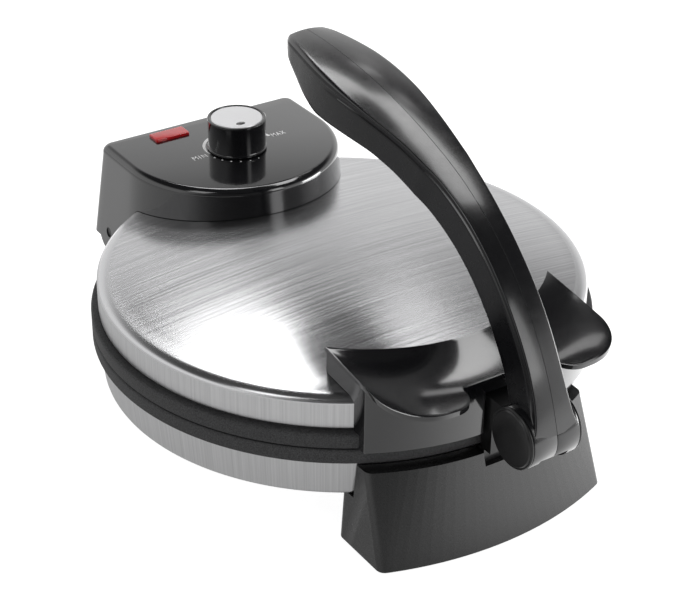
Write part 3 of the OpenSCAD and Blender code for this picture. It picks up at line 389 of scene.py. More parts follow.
def gloss_black(name, roughness=0.12, coat=1.0, coat_roughness=0.07, specular=0.5):
    """Gloss moulding with a faint uneven skin."""
    finish = Finish(name, (0.006, 0.006, 0.007), roughness)
    finish.set("IOR", 1.56)
    finish.set("Specular IOR Level", specular)
    finish.set("Coat Weight", coat)
    finish.set("Coat Roughness", coat_roughness)
    finish.dull(finish.grain(240, 3.0), roughness * 0.8, roughness * 1.4)
    finish.bump(finish.grain(18, 1.0), 0.0004, 0.25)
    return finish.material


def satin_black(name, base, roughness, grain_depth=0.00003, index=1.5):
    """Satin moulding with a fine spark-eroded grain."""
    finish = Finish(name, (base, base, base * 1.03), roughness)
    finish.set("IOR", index)
    fine = finish.grain(2600)
    finish.dull(fine, roughness - 0.05, roughness + 0.07)
    finish.bump(fine, grain_depth, 0.6)
    return finish.material


def ring_plastic():
    """Matte heat-proof moulding, lightly speckled."""
    finish = Finish("ring_plastic", (0.03, 0.03, 0.032), 0.62)
    speck = finish.grain(1500, 4.0, 0.7)
    shade = finish.remap(speck, 0.0, 1.0, 0.35, 0.7)
    finish.tint(shade, (0.012, 0.012, 0.013), (0.075, 0.075, 0.077))
    finish.bump(speck, 0.0002, 0.9)
    return finish.material


def plate_coating():
    """Dark non-stick coating."""
    finish = Finish("plate_coating", (0.02, 0.02, 0.021), 0.42)
    speck = finish.grain(900, 3.0, 0.6)
    shade = finish.remap(speck, 0.0, 1.0, 0.3, 0.75)
    finish.tint(shade, (0.014, 0.014, 0.015), (0.045, 0.045, 0.047))
    finish.bump(speck, 0.00005, 0.6)
    return finish.material


def satin_disc():
    """Knob disc: turned aluminium, lines round the dial's axis."""
    finish = Finish("satin_disc", (0.7, 0.7, 0.71), 0.34, 1.0)
    flat = finish.add("ShaderNodeVectorMath", operation="MULTIPLY")
    flat.inputs[1].default_value = (1, 1, 0)
    finish.link(finish.place(shift=(0, -DIAL_Y / 1000, 0)), flat.inputs[0])
    far = finish.add("ShaderNodeVectorMath", operation="LENGTH")
    finish.link(flat.outputs[0], far.inputs[0])
    rings = finish.add("ShaderNodeCombineXYZ")
    finish.link(far.outputs["Value"], rings.inputs["X"])
    lines = finish.noise(finish.stretch(rings.outputs[0], (4000, 1, 1)))
    finish.tint(lines, (0.8, 0.8, 0.81), (0.92, 0.92, 0.93))
    finish.bump(lines, 0.00001, 0.4)
    return finish.material


def red_lens():
    """Translucent red window."""
    finish = Finish("red_lens", (0.55, 0.012, 0.012), 0.14)
    finish.set("Transmission Weight", 0.25)
    finish.set("Subsurface Weight", 0.15)
    finish.set("Subsurface Radius", (0.004, 0.001, 0.001))
    finish.set("Coat Weight", 0.5)
    finish.tint(finish.grain(300), (0.6, 0.012, 0.015), (0.85, 0.03, 0.035))
    return finish.material


def white_print():
    """Printing ink, a little uneven in its gloss."""
    finish = Finish("white_print", (0.93, 0.93, 0.93), 0.5)
    finish.dull(finish.grain(900), 0.45, 0.6)
    return finish.material


def pale_insulator():
    """Pale heat-proof moulding, faintly clouded."""
    finish = Finish("pale_insulator", (0.7, 0.67, 0.6), 0.55)
    finish.tint(finish.grain(80, 3.0), (0.62, 0.59, 0.52), (0.76, 0.73, 0.66))
    return finish.material


FINISHES = {
    "across": brushed_across(),
    "upright": brushed_upright(),
    "polished": polished_steel(),
    "gloss": gloss_black("gloss_black"),
    "wing": gloss_black("wing_black"),
    "lever": gloss_black("lever_black", 0.2, 0.6, 0.12),
    # Painted shade: a duller copy of the lever's black, without coat, keeps the lever's flanks
    # darker
    "side": gloss_black("lever_flank_shaded_black", 0.26, 0.0, 0.2, specular=0.25),
    "knob": gloss_black("knob_black", 0.17, 0.7, 0.1),
    "satin": satin_black("satin_black", 0.007, 0.27, index=1.68),
    "cap": satin_black("cap_black", 0.012, 0.3, 0.00002),
    "bracket": satin_black("bracket_paint", 0.01, 0.3, 0.00002),
    "rubber": satin_black("rubber", 0.016, 0.7, 0.00008),
    "ring": ring_plastic(),
    "coating": plate_coating(),
    "sheath": smeared_metal("heater_sheath", (0.3, 0.27, 0.24), 0.4, 0.6, 200),
    "shield": smeared_metal("shield_sheet", (0.72, 0.72, 0.73), 0.2, 0.34, 30),
    "bolt": smeared_metal("plated_steel", (0.6, 0.6, 0.6), 0.24, 0.36, 300),
    "disc": satin_disc(),
    "lens": red_lens(),
    "insulator": pale_insulator(),
    "print": white_print(),
}


# Piece helpers


def finish_piece(name, bm, finishes, body, stands_for, angle):
    """Turns a bmesh in millimetres into an object in metres that rides on a body."""
    bmesh.ops.scale(bm, vec=(0.001, 0.001, 0.001), verts=bm.verts)
    for face in bm.faces:
        face.smooth = True
    limit = math.radians(angle)
    for edge in bm.edges:
        edge.smooth = len(edge.link_faces) == 2 and edge.calc_face_angle(0) < limit
    mesh = bpy.data.meshes.new(name)
    bm.to_mesh(mesh)
    bm.free()
    for finish in finishes:
        mesh.materials.append(FINISHES[finish])
    piece = bpy.data.objects.new(name, mesh)
    scene.collection.objects.link(piece)
    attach(piece, body)
    if stands_for:
        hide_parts(*stands_for)


def chain(bm, points, closed=False):
    """Vertices joined by edges through the points."""
    verts = [bm.verts.new(p) for p in points]
    edges = [bm.edges.new((a, b)) for a, b in zip(verts, verts[1:])]
    if closed:
        edges.append(bm.edges.new((verts[-1], verts[0])))
    return verts, edges


def arc(centre, radius, start, end, steps):
    turn = [math.radians(start + (end - start) * i / steps) for i in range(steps + 1)]
    return [(centre[0] + radius * math.cos(t), centre[1] + radius * math.sin(t)) for t in turn]


def only_verts(geometry):
    return [item for item in geometry if isinstance(item, bmesh.types.BMVert)]


def clean(bm):
    """Merges doubled vertices and turns the faces outwards."""
    bmesh.ops.remove_doubles(bm, verts=bm.verts, dist=MERGE)
    bmesh.ops.recalc_face_normals(bm, faces=bm.faces)


def full_turn(bm, ring, centre, axis, steps):
    """Skin of a closed ring of points taken once round the axis."""
    verts, edges = chain(bm, ring, closed=True)
    bmesh.ops.spin(
        bm, geom=verts + edges, cent=centre, axis=axis, angle=math.tau, steps=steps, use_merge=True
    )


def spun(profile, steps=240, y=0):
    """Closed half section of (radius, height) spun round an upright axis at this y."""
    bm = bmesh.new()
    full_turn(bm, [(r, y, z) for r, z in profile], (0, y, 0), UPRIGHT, steps)
    clean(bm)
    return bm


def thicken(bm, along):
    """Makes a sheet solid, by a copy of it that is moved along a vector."""
    done = bmesh.ops.extrude_face_region(bm, geom=bm.faces[:])
    bmesh.ops.translate(bm, vec=along, verts=only_verts(done["geom"]))
    bmesh.ops.recalc_face_normals(bm, faces=bm.faces)
    return bm


def thick_outline(points, along):
    bm = bmesh.new()
    verts, _ = chain(bm, points, closed=True)
    bm.faces.new(verts)
    return thicken(bm, along)


def prism(outline, low, high):
    """Plan of (x, y) points between two heights."""
    return thick_outline([(x, y, low) for x, y in outline], (0, 0, high - low))


def slab(outline, half_width):
    """Side view of (y, z) points, as thick as twice the half width across X."""
    return thick_outline([(-half_width, y, z) for y, z in outline], (2 * half_width, 0, 0))


def sheet(columns, rows, spot):
    """A grid whose vertices are moved to spot(column, row)."""
    bm = bmesh.new()
    bmesh.ops.create_grid(bm, x_segments=columns - 1, y_segments=rows - 1, size=1)
    for v in bm.verts:
        column = round((v.co.x + 1) / 2 * (columns - 1))
        row = round((v.co.y + 1) / 2 * (rows - 1))
        v.co = spot(column, row)
    return bm


def loft(bm, rings):
    """Skin through closed rings of points, with a face over the first and the last."""
    loops = [chain(bm, ring, closed=True) for ring in rings]
    for (_, below), (_, above) in zip(loops, loops[1:]):
        bmesh.ops.bridge_loops(bm, edges=below + above)
    bm.faces.new(loops[0][0])
    bm.faces.new(loops[-1][0])


def round_edges(bm, edges, radius, segments, clamp=False):
    bmesh.ops.bevel(
        bm, geom=edges, offset=radius, offset_type="OFFSET", segments=segments, profile=0.5,
        affect="EDGES", clamp_overlap=clamp, material=-1,
    )


def sharp_edges(bm, chosen):
    """The sharp edges for which chosen(edge) holds."""
    return [
        e for e in bm.edges
        if len(e.link_faces) == 2 and e.calc_face_angle(0) > math.radians(35) and chosen(e)
    ]


def holder(name, bm):
    """Plain object for a shape that is on its way."""
    mesh = bpy.data.meshes.new(name)
    bm.to_mesh(mesh)
    bm.free()
    thing = bpy.data.objects.new(name, mesh)
    scene.collection.objects.link(thing)
    return thing


def cut(bm, *cutters):
    """Takes the cutters away from a closed shape and gives the rest back."""
    solid = holder("solid", bm)
    tools = [holder("cutter", cutter) for cutter in cutters]
    for tool in tools:
        change = solid.modifiers.new("cut", "BOOLEAN")
        change.operation = "DIFFERENCE"
        change.solver = "EXACT"
        change.object = tool
    graph = bpy.context.evaluated_depsgraph_get()
    result = bpy.data.meshes.new_from_object(solid.evaluated_get(graph))
    out = bmesh.new()
    out.from_mesh(result)
    for thing in [solid] + tools:
        mesh = thing.data
        bpy.data.objects.remove(thing)
        bpy.data.meshes.remove(mesh)
    bpy.data.meshes.remove(result)
    bmesh.ops.remove_doubles(out, verts=out.verts, dist=CUT_MERGE)
    return out


# Steel shells


def lid_height(r):
    return LID_RIM_Z + LID_CROWN * (1 - (r / LID_RIM_R) ** 2)


def lid_roll(gap=0.0):
    """Rolled edge of the lid as (radius, height), from its wall to the rim of its crown."""
    wide = LID_R - LID_RIM_R + gap
    high = LID_RIM_Z - LID_SHOULDER_Z + gap
    turn = [math.radians(a) for a in range(0, 91, 9)]
    return [(LID_RIM_R + wide * math.cos(t), LID_SHOULDER_Z + high * math.sin(t)) for t in turn]


def lid_skin():
    outside = [(LID_R - 0.9, LID_WALL_Z), (LID_R - 0.25, LID_WALL_Z), (LID_R, LID_WALL_Z + 0.25)]
    outside += [(LID_R, LID_WALL_Z + 0.5), (LID_R, LID_SHOULDER_Z - 0.4)] + lid_roll()
    radii = [LID_RIM_R * (1 - i / 20) for i in range(1, 20)] + [0]
    outside += [(r, lid_height(r)) for r in radii]
    inside = [(r - 0.9 if r > LID_RIM_R else r, z - SHEET) for r, z in outside[3:]]
    inside[0] = (LID_R - 0.9, LID_SHOULDER_Z - 0.5)
    bm = spun(outside + inside[::-1])
    for face in bm.faces:
        place = face.calc_center_median()
        if math.hypot(place.x, place.y) < LID_RIM_R - 0.5:
            face.material_index = 0
        elif place.z > LID_SHOULDER_Z + 0.1:
            face.material_index = 1
        else:
            face.material_index = 2
    finishes = ["across", "polished", "upright"]
    finish_piece("lid_skin", bm, finishes, "lid", ["lid_shell"], 50)


def base_skin():
    centre = (BAND_FOOT_R - PAN_BEND, PAN_Z + PAN_BEND)
    profile = [(0, PAN_Z), (centre[0] - 0.5, PAN_Z)] + arc(centre, PAN_BEND, -90, 0, 8)
    profile += [(BAND_FOOT_R + 0.04, centre[1] + 0.5), (BAND_TOP_R - 0.03, BAND_TOP_Z - 0.4)]
    profile += [(BAND_TOP_R, BAND_TOP_Z), (BAND_TOP_R - SHEET, BAND_TOP_Z)]
    profile += arc(centre, PAN_BEND - SHEET, 0, -90, 8) + [(0, PAN_Z + SHEET)]
    bm = spun(profile)
    finish_piece("base_skin", bm, ["upright"], "base", ["base_shell"], 50)


# Lever

# Its sections stand at angles from upright: on the grip's arc up to LEVER_TURN, then on the neck's.
# An arc is its centre (y, z) and its radius, and the tables give a value at an angle.
GRIP_ARC = (34.23, -130.0, 342.0)
NECK_ARC = (-30.99, 39.91, 160.0)
LEVER_TURN = 21.0
LEVER_ROOT = 74.4
LEVER_TIP = -0.75
TIP_ROUND = 2.2
HALF_WIDTH = 9.5
DEPTH = 22.5
SEAM = 0.24
UNDER_ROUND = 2.6
FLANK_FOOT_Z = 88
# Side groove and ridge: share of the groove's depth, and way down the flank
GROOVE_SHAPE = [
    (0.15, 0.3), (1.1, 0.75), (1.25, 1.2), (1.25, 2.3), (1.0, 2.75), (0.3, 3.1), (0.02, 3.5),
    (0, 4.2),
]
GROOVE_LENGTH = 4.2
LEVER_FLARE = [
    (-0.75, 0.4), (-0.55, 2.2), (-0.2, 3.6), (0.4, 5.1), (2, 6.9), (4, 9.1), (6, 10.7), (8, 11.4),
    (10, 11.2), (12, 10.4), (14, 9.0), (16, 7.3), (18, 5.6), (20.5, 3.8), (25, 2.1), (30, 1.1),
    (35, 0.4), (42, 0), (62, 0), (67, 0.5), (70, 1.3), (72, 2.2), (74, 4.0), (76, 5.0),
]
LEVER_DEPTH = [
    (-0.75, 0.36), (-0.5, 0.48), (0, 0.56), (2, 0.8), (4.2, 1.06), (6.6, 1.2), (9, 1.15),
    (12, 1.06), (15, 0.97), (18, 0.96), (21, 1), (69, 1), (69.6, 0.8), (70, 0.55), (71, 0.34),
    (72, 0.23), (73, 0.17), (76, 0.12),
]
LEVER_DROP = [(-1, 1.6), (2, 1.2), (6, 1.5), (10, 2.1), (14, 2), (18, 1), (25, 0.5), (90, 0.5)]
LEVER_EDGE = [(-1, 3.0), (4, 3.6), (8, 3.2), (11, 2.0), (14, 1.0), (20, 0.8), (90, 0.8)]
LEVER_GROOVE = [(-1, 0), (8, 0), (13, 1.0), (66, 1.0), (70, 0.3), (90, 0)]


def lookup(table, at):
    """Straight-line value between a table's entries, averaged a little so that no kink shows."""
    total = 0.0
    for shift in (-0.6, -0.3, 0.0, 0.3, 0.6):
        place = max(at + shift, table[0][0])
        value = table[-1][1]
        for (a, low), (b, high) in zip(table, table[1:]):
            if a <= place <= b:
                value = low + (high - low) * (place - a) / (b - a)
                break
        total += value
    return total / 5


def lever_size(angle):
    """Half width and depth of the lever at an angle."""
    return HALF_WIDTH + lookup(LEVER_FLARE, angle), DEPTH * lookup(LEVER_DEPTH, angle)


def crown(angle, inset):
    """Side view of the lever's upper line: (y, z) at an angle from upright, some way inside."""
    y, z, radius = GRIP_ARC if angle < LEVER_TURN else NECK_ARC
    t = math.radians(angle)
    return y - (radius - inset) * math.sin(t), z + (radius - inset) * math.cos(t)


def lever_half_section(angle):
    """Closed section of the right half: seam, crown, edge, groove, ridge, flank, underside."""
    half_w, depth = lever_size(angle)
    drop = lookup(LEVER_DROP, angle)
    edge = lookup(LEVER_EDGE, angle)
    groove = lookup(LEVER_GROOVE, angle)
    low = min(UNDER_ROUND, depth * 0.3)
    sweep = [(0.03, 0.3), (0.06, 0.08), (0.14, 0.0), (SEAM, 0.001)]
    spots = [SEAM + (half_w - edge - SEAM) * i / 8 for i in range(1, 9)]
    sweep += [(x, drop * (x / half_w) ** 2) for x in spots]
    top = drop * ((half_w - edge) / half_w) ** 2
    turn = [math.radians(t) for t in (15, 30, 45, 60, 75, 90)]
    sweep += [
        (half_w - edge + edge * math.sin(t), top + edge - edge * math.cos(t)) for t in turn
    ]
    start = top + edge
    reach = min(1.0, max(depth - low - start - 0.4, 0.4) / 6)
    sweep += [(half_w - inward * groove, start + along * reach) for inward, along in GROOVE_SHAPE]
    under = depth - low
    flank = start + GROOVE_LENGTH * reach
    sweep += [(half_w, flank + (under - flank) * i / 4) for i in range(1, 4)]
    turn = [math.radians(t) for t in (0, 18, 36, 54, 72, 90)]
    sweep += [(half_w - low + low * math.cos(t), under + low * math.sin(t)) for t in turn]
    sweep += [(half_w * 0.45, depth), (0.34, depth), (0.04, depth - 0.35)]
    return [(x, *crown(angle, inset)) for x, inset in sweep]


def tip_pull(angle):
    """How far the end of the grip is drawn in, so that its end face has a round edge."""
    left = max(TIP_ROUND - (angle - LEVER_TIP) * math.pi / 180 * GRIP_ARC[2], 0)
    return TIP_ROUND - math.sqrt(TIP_ROUND**2 - left**2)


def pull_in(point, angle, pull):
    """A section's point drawn in towards the middle of the section."""
    if pull <= 0:
        return point
    half_w, depth = lever_size(angle)
    middle_y, middle_z = crown(angle, depth / 2)
    keep_x = max(1 - pull / half_w, 0.2)
    keep_d = max(1 - pull * 2 / depth, 0.2)
    x, y, z = point
    near_seam = x < 0.2
    return (
        x if near_seam else x * keep_x,
        middle_y + (y - middle_y) * keep_d,
        middle_z + (z - middle_z) * keep_d,
    )


def lever_rings():
    """Sections of the right half: close at the round tip, then half a degree and a degree apart."""
    angles = [LEVER_TIP, -0.72, -0.66, -0.58, -0.45, -0.3, -0.1, 0.15, 0.5]
    angles += [0.5 + 0.5 * i for i in range(1, 41)]
    angles += [LEVER_TURN + i for i in range(50)] + [71, 72, 73, 73.7, LEVER_ROOT]
    rings = []
    for angle in angles:
        pull = tip_pull(angle)
        rings.append([pull_in(point, angle, pull) for point in lever_half_section(angle)])
    return rings


def turn_on_barrel(bm, section):
    """Closed section of (x, radius) taken once round the barrel's axis."""
    ring = [(x, BARREL_Y + r, BARREL_Z) for x, r in section]
    full_turn(bm, ring, BARREL, SIDEWAYS, 120)


def barrel_half(bm):
    """Right half of the barrel: a full drum outside and an open shell over the mouth."""
    drum = [(8.5, 4.1), (14.0, 4.1), (14.0, 15.3), (13.8, 15.8), (13.3, BARREL_R), (8.5, BARREL_R)]
    turn_on_barrel(bm, drum)
    shell = [(0.04, 12.6), (8.5, 12.6)]
    shell += [(8.5, BARREL_R), (0.34, BARREL_R), (0.1, 15.84), (0.04, 15.45)]
    turn = Matrix.Rotation(math.radians(MOUTH_START), 3, "X")
    ring = []
    for x, r in shell:
        arm = turn @ Vector((0, r, 0))
        ring.append((x, BARREL_Y + arm.y, BARREL_Z + arm.z))
    verts, edges = chain(bm, ring, closed=True)
    bm.faces.new(verts)
    done = bmesh.ops.spin(
        bm, geom=verts + edges, cent=BARREL, axis=SIDEWAYS, angle=math.radians(MOUTH_TURN),
        steps=60,
    )
    bm.faces.new(only_verts(done["geom_last"]))


def lever_halves():
    halves = (("lever_right", "lever_right_half", 1), ("lever_left", "lever_left_half", -1))
    for name, node, side in halves:
        bm = bmesh.new()
        loft(bm, lever_rings())
        barrel_half(bm)
        if side < 0:
            bmesh.ops.scale(bm, vec=(-1, 1, 1), verts=bm.verts)
        clean(bm)
        bm.normal_update()
        # Flank faces take the duller copy of the black, as painted shade
        for face in bm.faces:
            flank = abs(face.normal.x) > 0.8 and face.calc_center_median().z > FLANK_FOOT_Z
            face.material_index = 1 if flank else 0
        finish_piece(name, bm, ["lever", "side"], "lever", [node], 38)


def lever_caps():
    """Two end caps with a stepped rim, set against the barrel's ends."""
    section = [
        (14.05, 0), (14.05, 15.6), (14.3, 15.9), (14.9, 15.9), (15.3, 15.55), (15.4, 15.1),
        (15.35, 14.7), (15.6, 14.5), (15.95, 14.1), (16.0, 13.6), (15.9, 6.0), (15.85, 0),
    ]
    for name, side in (("barrel_cap_right", 1), ("barrel_cap_left", -1)):
        bm = bmesh.new()
        turn_on_barrel(bm, [(x * side, r) for x, r in section])
        clean(bm)
        finish_piece(name, bm, ["cap"], "lever", ["lever_end_caps"], 25)


# Control housing


def housing_ring(plan, inset, z):
    """Plan of the housing at one height: round nose, straight sides, rounded back corners."""
    half_w, front, back = plan
    w = half_w - inset
    corner = HOUSING_CORNER - inset
    middle = front + half_w
    bend = back - inset - corner
    nose = [(x, y + middle) for x, y in arc((0, 0), w, 180, 360, 72)]
    right = [(w, middle + (bend - middle) * i / 6) for i in range(1, 6)]
    left = [(-x, y) for x, y in reversed(right)]
    back_right = arc((w - corner, bend), corner, 0, 90, 10)
    back_left = arc((corner - w, bend), corner, 90, 180, 10)
    middle_back = [(x * (w - corner), back - inset) for x in (0.6, 0.2, -0.2, -0.6)]
    outline = nose + right + back_right + middle_back + back_left + left
    return [(x, y, z) for x, y in outline]


def housing_form(inset, top):
    """The housing as a solid block, some way inside its skin."""
    bm = bmesh.new()
    roll = HOUSING_ROLL - inset
    rings = [
        housing_ring(HOUSING_FOOT_PLAN, inset, HOUSING_FOOT_Z),
        housing_ring(HOUSING_TOP_PLAN, inset, top - roll - 0.4),
    ]
    for i in range(11):
        t = math.radians(9 * i)
        inward = inset + roll * (1 - math.cos(t))
        rings.append(housing_ring(HOUSING_TOP_PLAN, inward, top - roll + roll * math.sin(t)))
    loft(bm, rings)
    bmesh.ops.recalc_face_normals(bm, faces=bm.faces)
    return bm


def lid_room():
    """Space of the closed lid with its clearance, to cut away from what stands on it."""
    ring_r = RING_R + LID_GAP
    profile = [(0, 40), (ring_r, 40), (ring_r, 70.0), (LID_R + LID_GAP, 70.0)]
    profile += lid_roll(LID_GAP)
    radii = [LID_RIM_R * (1 - i / 12) for i in range(1, 13)]
    profile += [(r, lid_height(r) + LID_GAP) for r in radii]
    return spun(profile, 180)


def hinge_bore():
    """The bore for the hinge pins, through both ears."""
    bore = bmesh.new()
    bmesh.ops.create_cone(
        bore, cap_ends=True, segments=48, radius1=HINGE_BORE_R, radius2=HINGE_BORE_R, depth=200
    )
    bmesh.ops.rotate(bore, verts=bore.verts, matrix=Matrix.Rotation(math.radians(90), 3, "Y"))
    bmesh.ops.translate(bore, verts=bore.verts, vec=(0, HINGE_Y, HINGE_Z))
    return bore


def housing():
    """Hollow block over the lid, cut off below except for its two hinge ears."""
    ear = arc((HINGE_Y, HINGE_Z), HINGE_EAR_R, -30, -150, 20)
    below = [(0, 0), (300, 0), (300, 54)] + ear + [(134, 54), (134, 63), (0, 63)]
    block = housing_form(0, HOUSING_TOP_Z)
    room = housing_form(HOUSING_WALL, HOUSING_TOP_Z - HOUSING_WALL)
    bm = cut(block, room, lid_room(), slab(below, 100), hinge_bore())
    finish_piece("housing", bm, ["gloss"], "lid", ["control_housing"], 33)


# Lid handle


def wing_height(x, r):
    """Height of the wings' upper face: a dish in the middle, an even slope at the ends."""
    dish = DISH_CENTRE_Z - math.sqrt(DISH_R**2 - (r - DISH_AT) ** 2)
    slope = WING_END_Z - WING_END_FALL * (r - WING_R)
    return dish + (slope - dish) * (x / WING_TIP_X) ** 2


def wing_edges():
    """Front and back edge of the wings in plan, from tip to tip, with as many points each.

    The front edge runs over the notch for the lever, out along the wing and round its tip."""
    front = [(x, -144.5) for x in (0, 4, 8, 12, 16, 20, 23)]
    front += arc((25, -146.5), 2, 90, 0, 4)
    front += arc((39, -147), 12, 180, 270, 12)
    front += [(40.7, -159)]
    front += arc((42.5, -132), 27, 270, 360, 24)
    run = [0.0]
    for a, b in zip(front, front[1:]):
        run.append(run[-1] + math.dist(a, b))
    back = []
    for (x, _), along in zip(front, run):
        behind = 0.6 * x + 0.4 * WING_TIP_X * along / run[-1]
        back.append((behind, WING_Y - math.sqrt(WING_R**2 - behind**2)))
    front = [(-x, y) for x, y in reversed(front[1:])] + front
    back = [(-x, y) for x, y in reversed(back[1:])] + back
    return front, back


def wing_top():
    """The two dished wings, one sheet with rounded edges and a notch for the lever."""
    front, back = wing_edges()
    rows = 22

    def spot(column, row):
        t = row / (rows - 1)
        x = back[column][0] * (1 - t) + front[column][0] * t
        y = back[column][1] * (1 - t) + front[column][1] * t
        return (x, y, wing_height(x, math.hypot(x, y - WING_Y)))

    bm = thicken(sheet(len(front), rows, spot), (0, 0, -WING_WALL))

    def free(edge):
        middle = (edge.verts[0].co + edge.verts[1].co) / 2
        r = math.hypot(middle.x, middle.y - WING_Y)
        under = middle.z < wing_height(middle.x, r) - 1.5
        return not (under and r < WING_R + 0.4)

    round_edges(bm, sharp_edges(bm, free), 0.75, 4, clamp=True)
    return bm


def wing_walls():
    """Back, ends and apron of the handle, down to the joint of the rings."""
    outer = arc((0, 0), APRON_R, -119.07, -60.93, 72)
    outer += arc((0, WING_Y), WING_R, -45.82, -134.18, 64)
    inner = arc((0, 0), APRON_R - WING_WALL, -118.48, -61.52, 72)
    inner += arc((0, WING_Y), WING_R + WING_WALL, -49.07, -130.93, 64)
    body = prism(outer, SPLIT_Z + LID_GAP, 108)

    def low_or_front(edge):
        return max(v.co.z for v in edge.verts) < SPLIT_Z + 1 or abs(edge.verts[0].co.y) > 120

    round_edges(body, sharp_edges(body, low_or_front), 0.7, 3, clamp=True)
    room = prism(inner, 50, 130)

    def above(column, row):
        turn = math.radians(-52 + 104 * column / 52)
        reach = 96 + 64 * row / 20
        x = reach * math.sin(turn)
        return (x, WING_Y - reach * math.cos(turn), wing_height(x, reach) - WING_WALL / 2)

    over = thicken(sheet(53, 21, above), (0, 0, 60))
    notch = prism([(-10, -170), (10, -170), (10, -120), (-10, -120)], 40, 86)
    return cut(body, room, over, lid_room(), notch)


def wing_bosses(bm):
    """Two bosses for the handle's screws, between the lid's wall and the apron."""
    x, y, z = BOSS_PLACE
    for side in (-1, 1):
        done = bmesh.ops.create_cone(bm, cap_ends=True, segments=40, radius1=4, radius2=4, depth=7)
        place = Matrix.Translation((side * x, y, z)) @ Matrix.Rotation(math.radians(90), 4, "X")
        bmesh.ops.transform(bm, matrix=place, verts=done["verts"])


def wing_handle():
    bm = wing_top()
    walls = wing_walls()
    wing_bosses(walls)
    mesh = bpy.data.meshes.new("walls")
    walls.to_mesh(mesh)
    walls.free()
    bm.from_mesh(mesh)
    bpy.data.meshes.remove(mesh)
    finish_piece("lid_handle", bm, ["wing"], "lid", ["wing_handle"], 33)


# Dial and lamp


def on_dial(radius, degrees, z):
    """A point at a radius and an angle round the dial's axis."""
    t = math.radians(degrees)
    return (radius * math.cos(t), DIAL_Y + radius * math.sin(t), z)


def knob_parts():
    """Grip with its lip, the set-in disc, and a black patch on the disc that paints the shade of
    its pointer dent.
    """
    bottom = HOUSING_TOP_Z + KNOB_GAP
    top = bottom + KNOB_H
    grip = [
        (3.2, bottom), (17.0, bottom), (17.3, bottom + 0.3), (17.3, bottom + 1.2),
        (17.1, bottom + 1.5), (16.75, bottom + 1.7), (16.9, top - 1.6), (17.1, top - 0.9),
        (17.05, top - 0.35), (16.75, top - 0.05), (16.3, top), (15.6, top - 0.1),
        (15.25, top - 0.35), (15.15, top - 1.2), (3.2, top - 1.2),
    ]
    bm = spun(grip, 160, DIAL_Y)
    finish_piece("knob_grip", bm, ["knob"], "dial", ["knob"], 25)
    face = [
        (0, top - 1.15), (14.95, top - 1.15), (15.0, top - 0.45), (14.7, top - 0.2),
        (11.0, top - 0.08), (6.0, top), (0, top),
    ]
    bm = spun(face, 160, DIAL_Y)
    finish_piece("knob_face", bm, ["disc"], "dial", ["knob_disc"], 25)
    # Painted shade: a flat black patch stands for the shade in the disc's pointer dent
    bm = bmesh.new()
    bmesh.ops.create_uvsphere(bm, u_segments=32, v_segments=16, radius=1.0)
    bmesh.ops.scale(bm, vec=(2.9, 2.0, 0.34), verts=bm.verts)
    bmesh.ops.translate(bm, vec=on_dial(9.2, 254, top - 0.08), verts=bm.verts)
    finish_piece("knob_dent_shade", bm, ["gloss"], "dial", (), 60)


def print_dots(bm, z):
    """Six dots along the front of the dial, each a little smaller than the last."""
    for i in range(6):
        bmesh.ops.create_circle(
            bm, cap_ends=True, segments=24, radius=0.62 - 0.045 * i,
            matrix=Matrix.Translation(on_dial(18.6 + 0.1 * i, 195 + 17 * i, z)),
        )


def print_band(bm, z):
    """Band round the back of the dial, which leaves it and widens from MIN to MAX."""
    steps = 60
    rims = []
    for side in (-0.5, 0.5):
        rim = []
        for i in range(steps + 1):
            middle = 17.7 + 6.4 * (i / steps) ** 0.8
            width = 0.5 + 1.3 * min(i / 12, 1)
            rim.append(on_dial(middle + side * width, 178 - 170 * i / steps, z))
        rims.append(chain(bm, rim)[1])
    bmesh.ops.bridge_loops(bm, edges=rims[0] + rims[1])


def print_word(bm, word, place, width):
    """A word as a flat mesh, as wide as given."""
    curve = bpy.data.curves.new("word", "FONT")
    curve.body = word
    curve.align_x = "CENTER"
    curve.size = 6.0
    curve.offset = 0.06
    curve.space_character = 1.25
    text = bpy.data.objects.new("word", curve)
    scene.collection.objects.link(text)
    graph = bpy.context.evaluated_depsgraph_get()
    flat = bpy.data.meshes.new_from_object(text.evaluated_get(graph))
    span = max(v.co.x for v in flat.vertices) - min(v.co.x for v in flat.vertices)
    flat.transform(Matrix.Translation(place) @ Matrix.Diagonal((width / span, 1, 1, 1)))
    bm.from_mesh(flat)
    bpy.data.objects.remove(text)
    bpy.data.curves.remove(curve)
    bpy.data.meshes.remove(flat)


def dial_print():
    """White dots, the widening band and the two end words, printed on the housing's top."""
    z = HOUSING_TOP_Z + 0.03
    bm = bmesh.new()
    print_dots(bm, z)
    print_band(bm, z)
    print_word(bm, "MIN", (-24.9, 110.2, z), 9.0)
    print_word(bm, "MAX", (29.8, 113.0, z), 8.8)
    for face in bm.faces:
        if face.normal.z < 0:
            face.normal_flip()
    finish_piece("dial_print", bm, ["print"], "lid", (), 60)


def lamp():
    """Red window with soft corners and a soft rim."""
    bm = bmesh.new()
    bmesh.ops.create_cube(bm, size=1)
    bmesh.ops.scale(bm, vec=LAMP_SIZE, verts=bm.verts)
    bmesh.ops.translate(bm, vec=LAMP_PLACE, verts=bm.verts)
    upright = [e for e in bm.edges if abs(e.verts[0].co.z - e.verts[1].co.z) > 1]
    round_edges(bm, upright, LAMP_CORNER, 5)
    rim = [e for e in bm.edges if min(v.co.z for v in e.verts) > HOUSING_TOP_Z + 1.5]
    round_edges(bm, rim, LAMP_RIM, 4)
    bm.normal_update()
    finish_piece("lamp_window", bm, ["lens"], "lid", ["lamp_lens"], 40)


# Dressing of the CAD nodes that stay

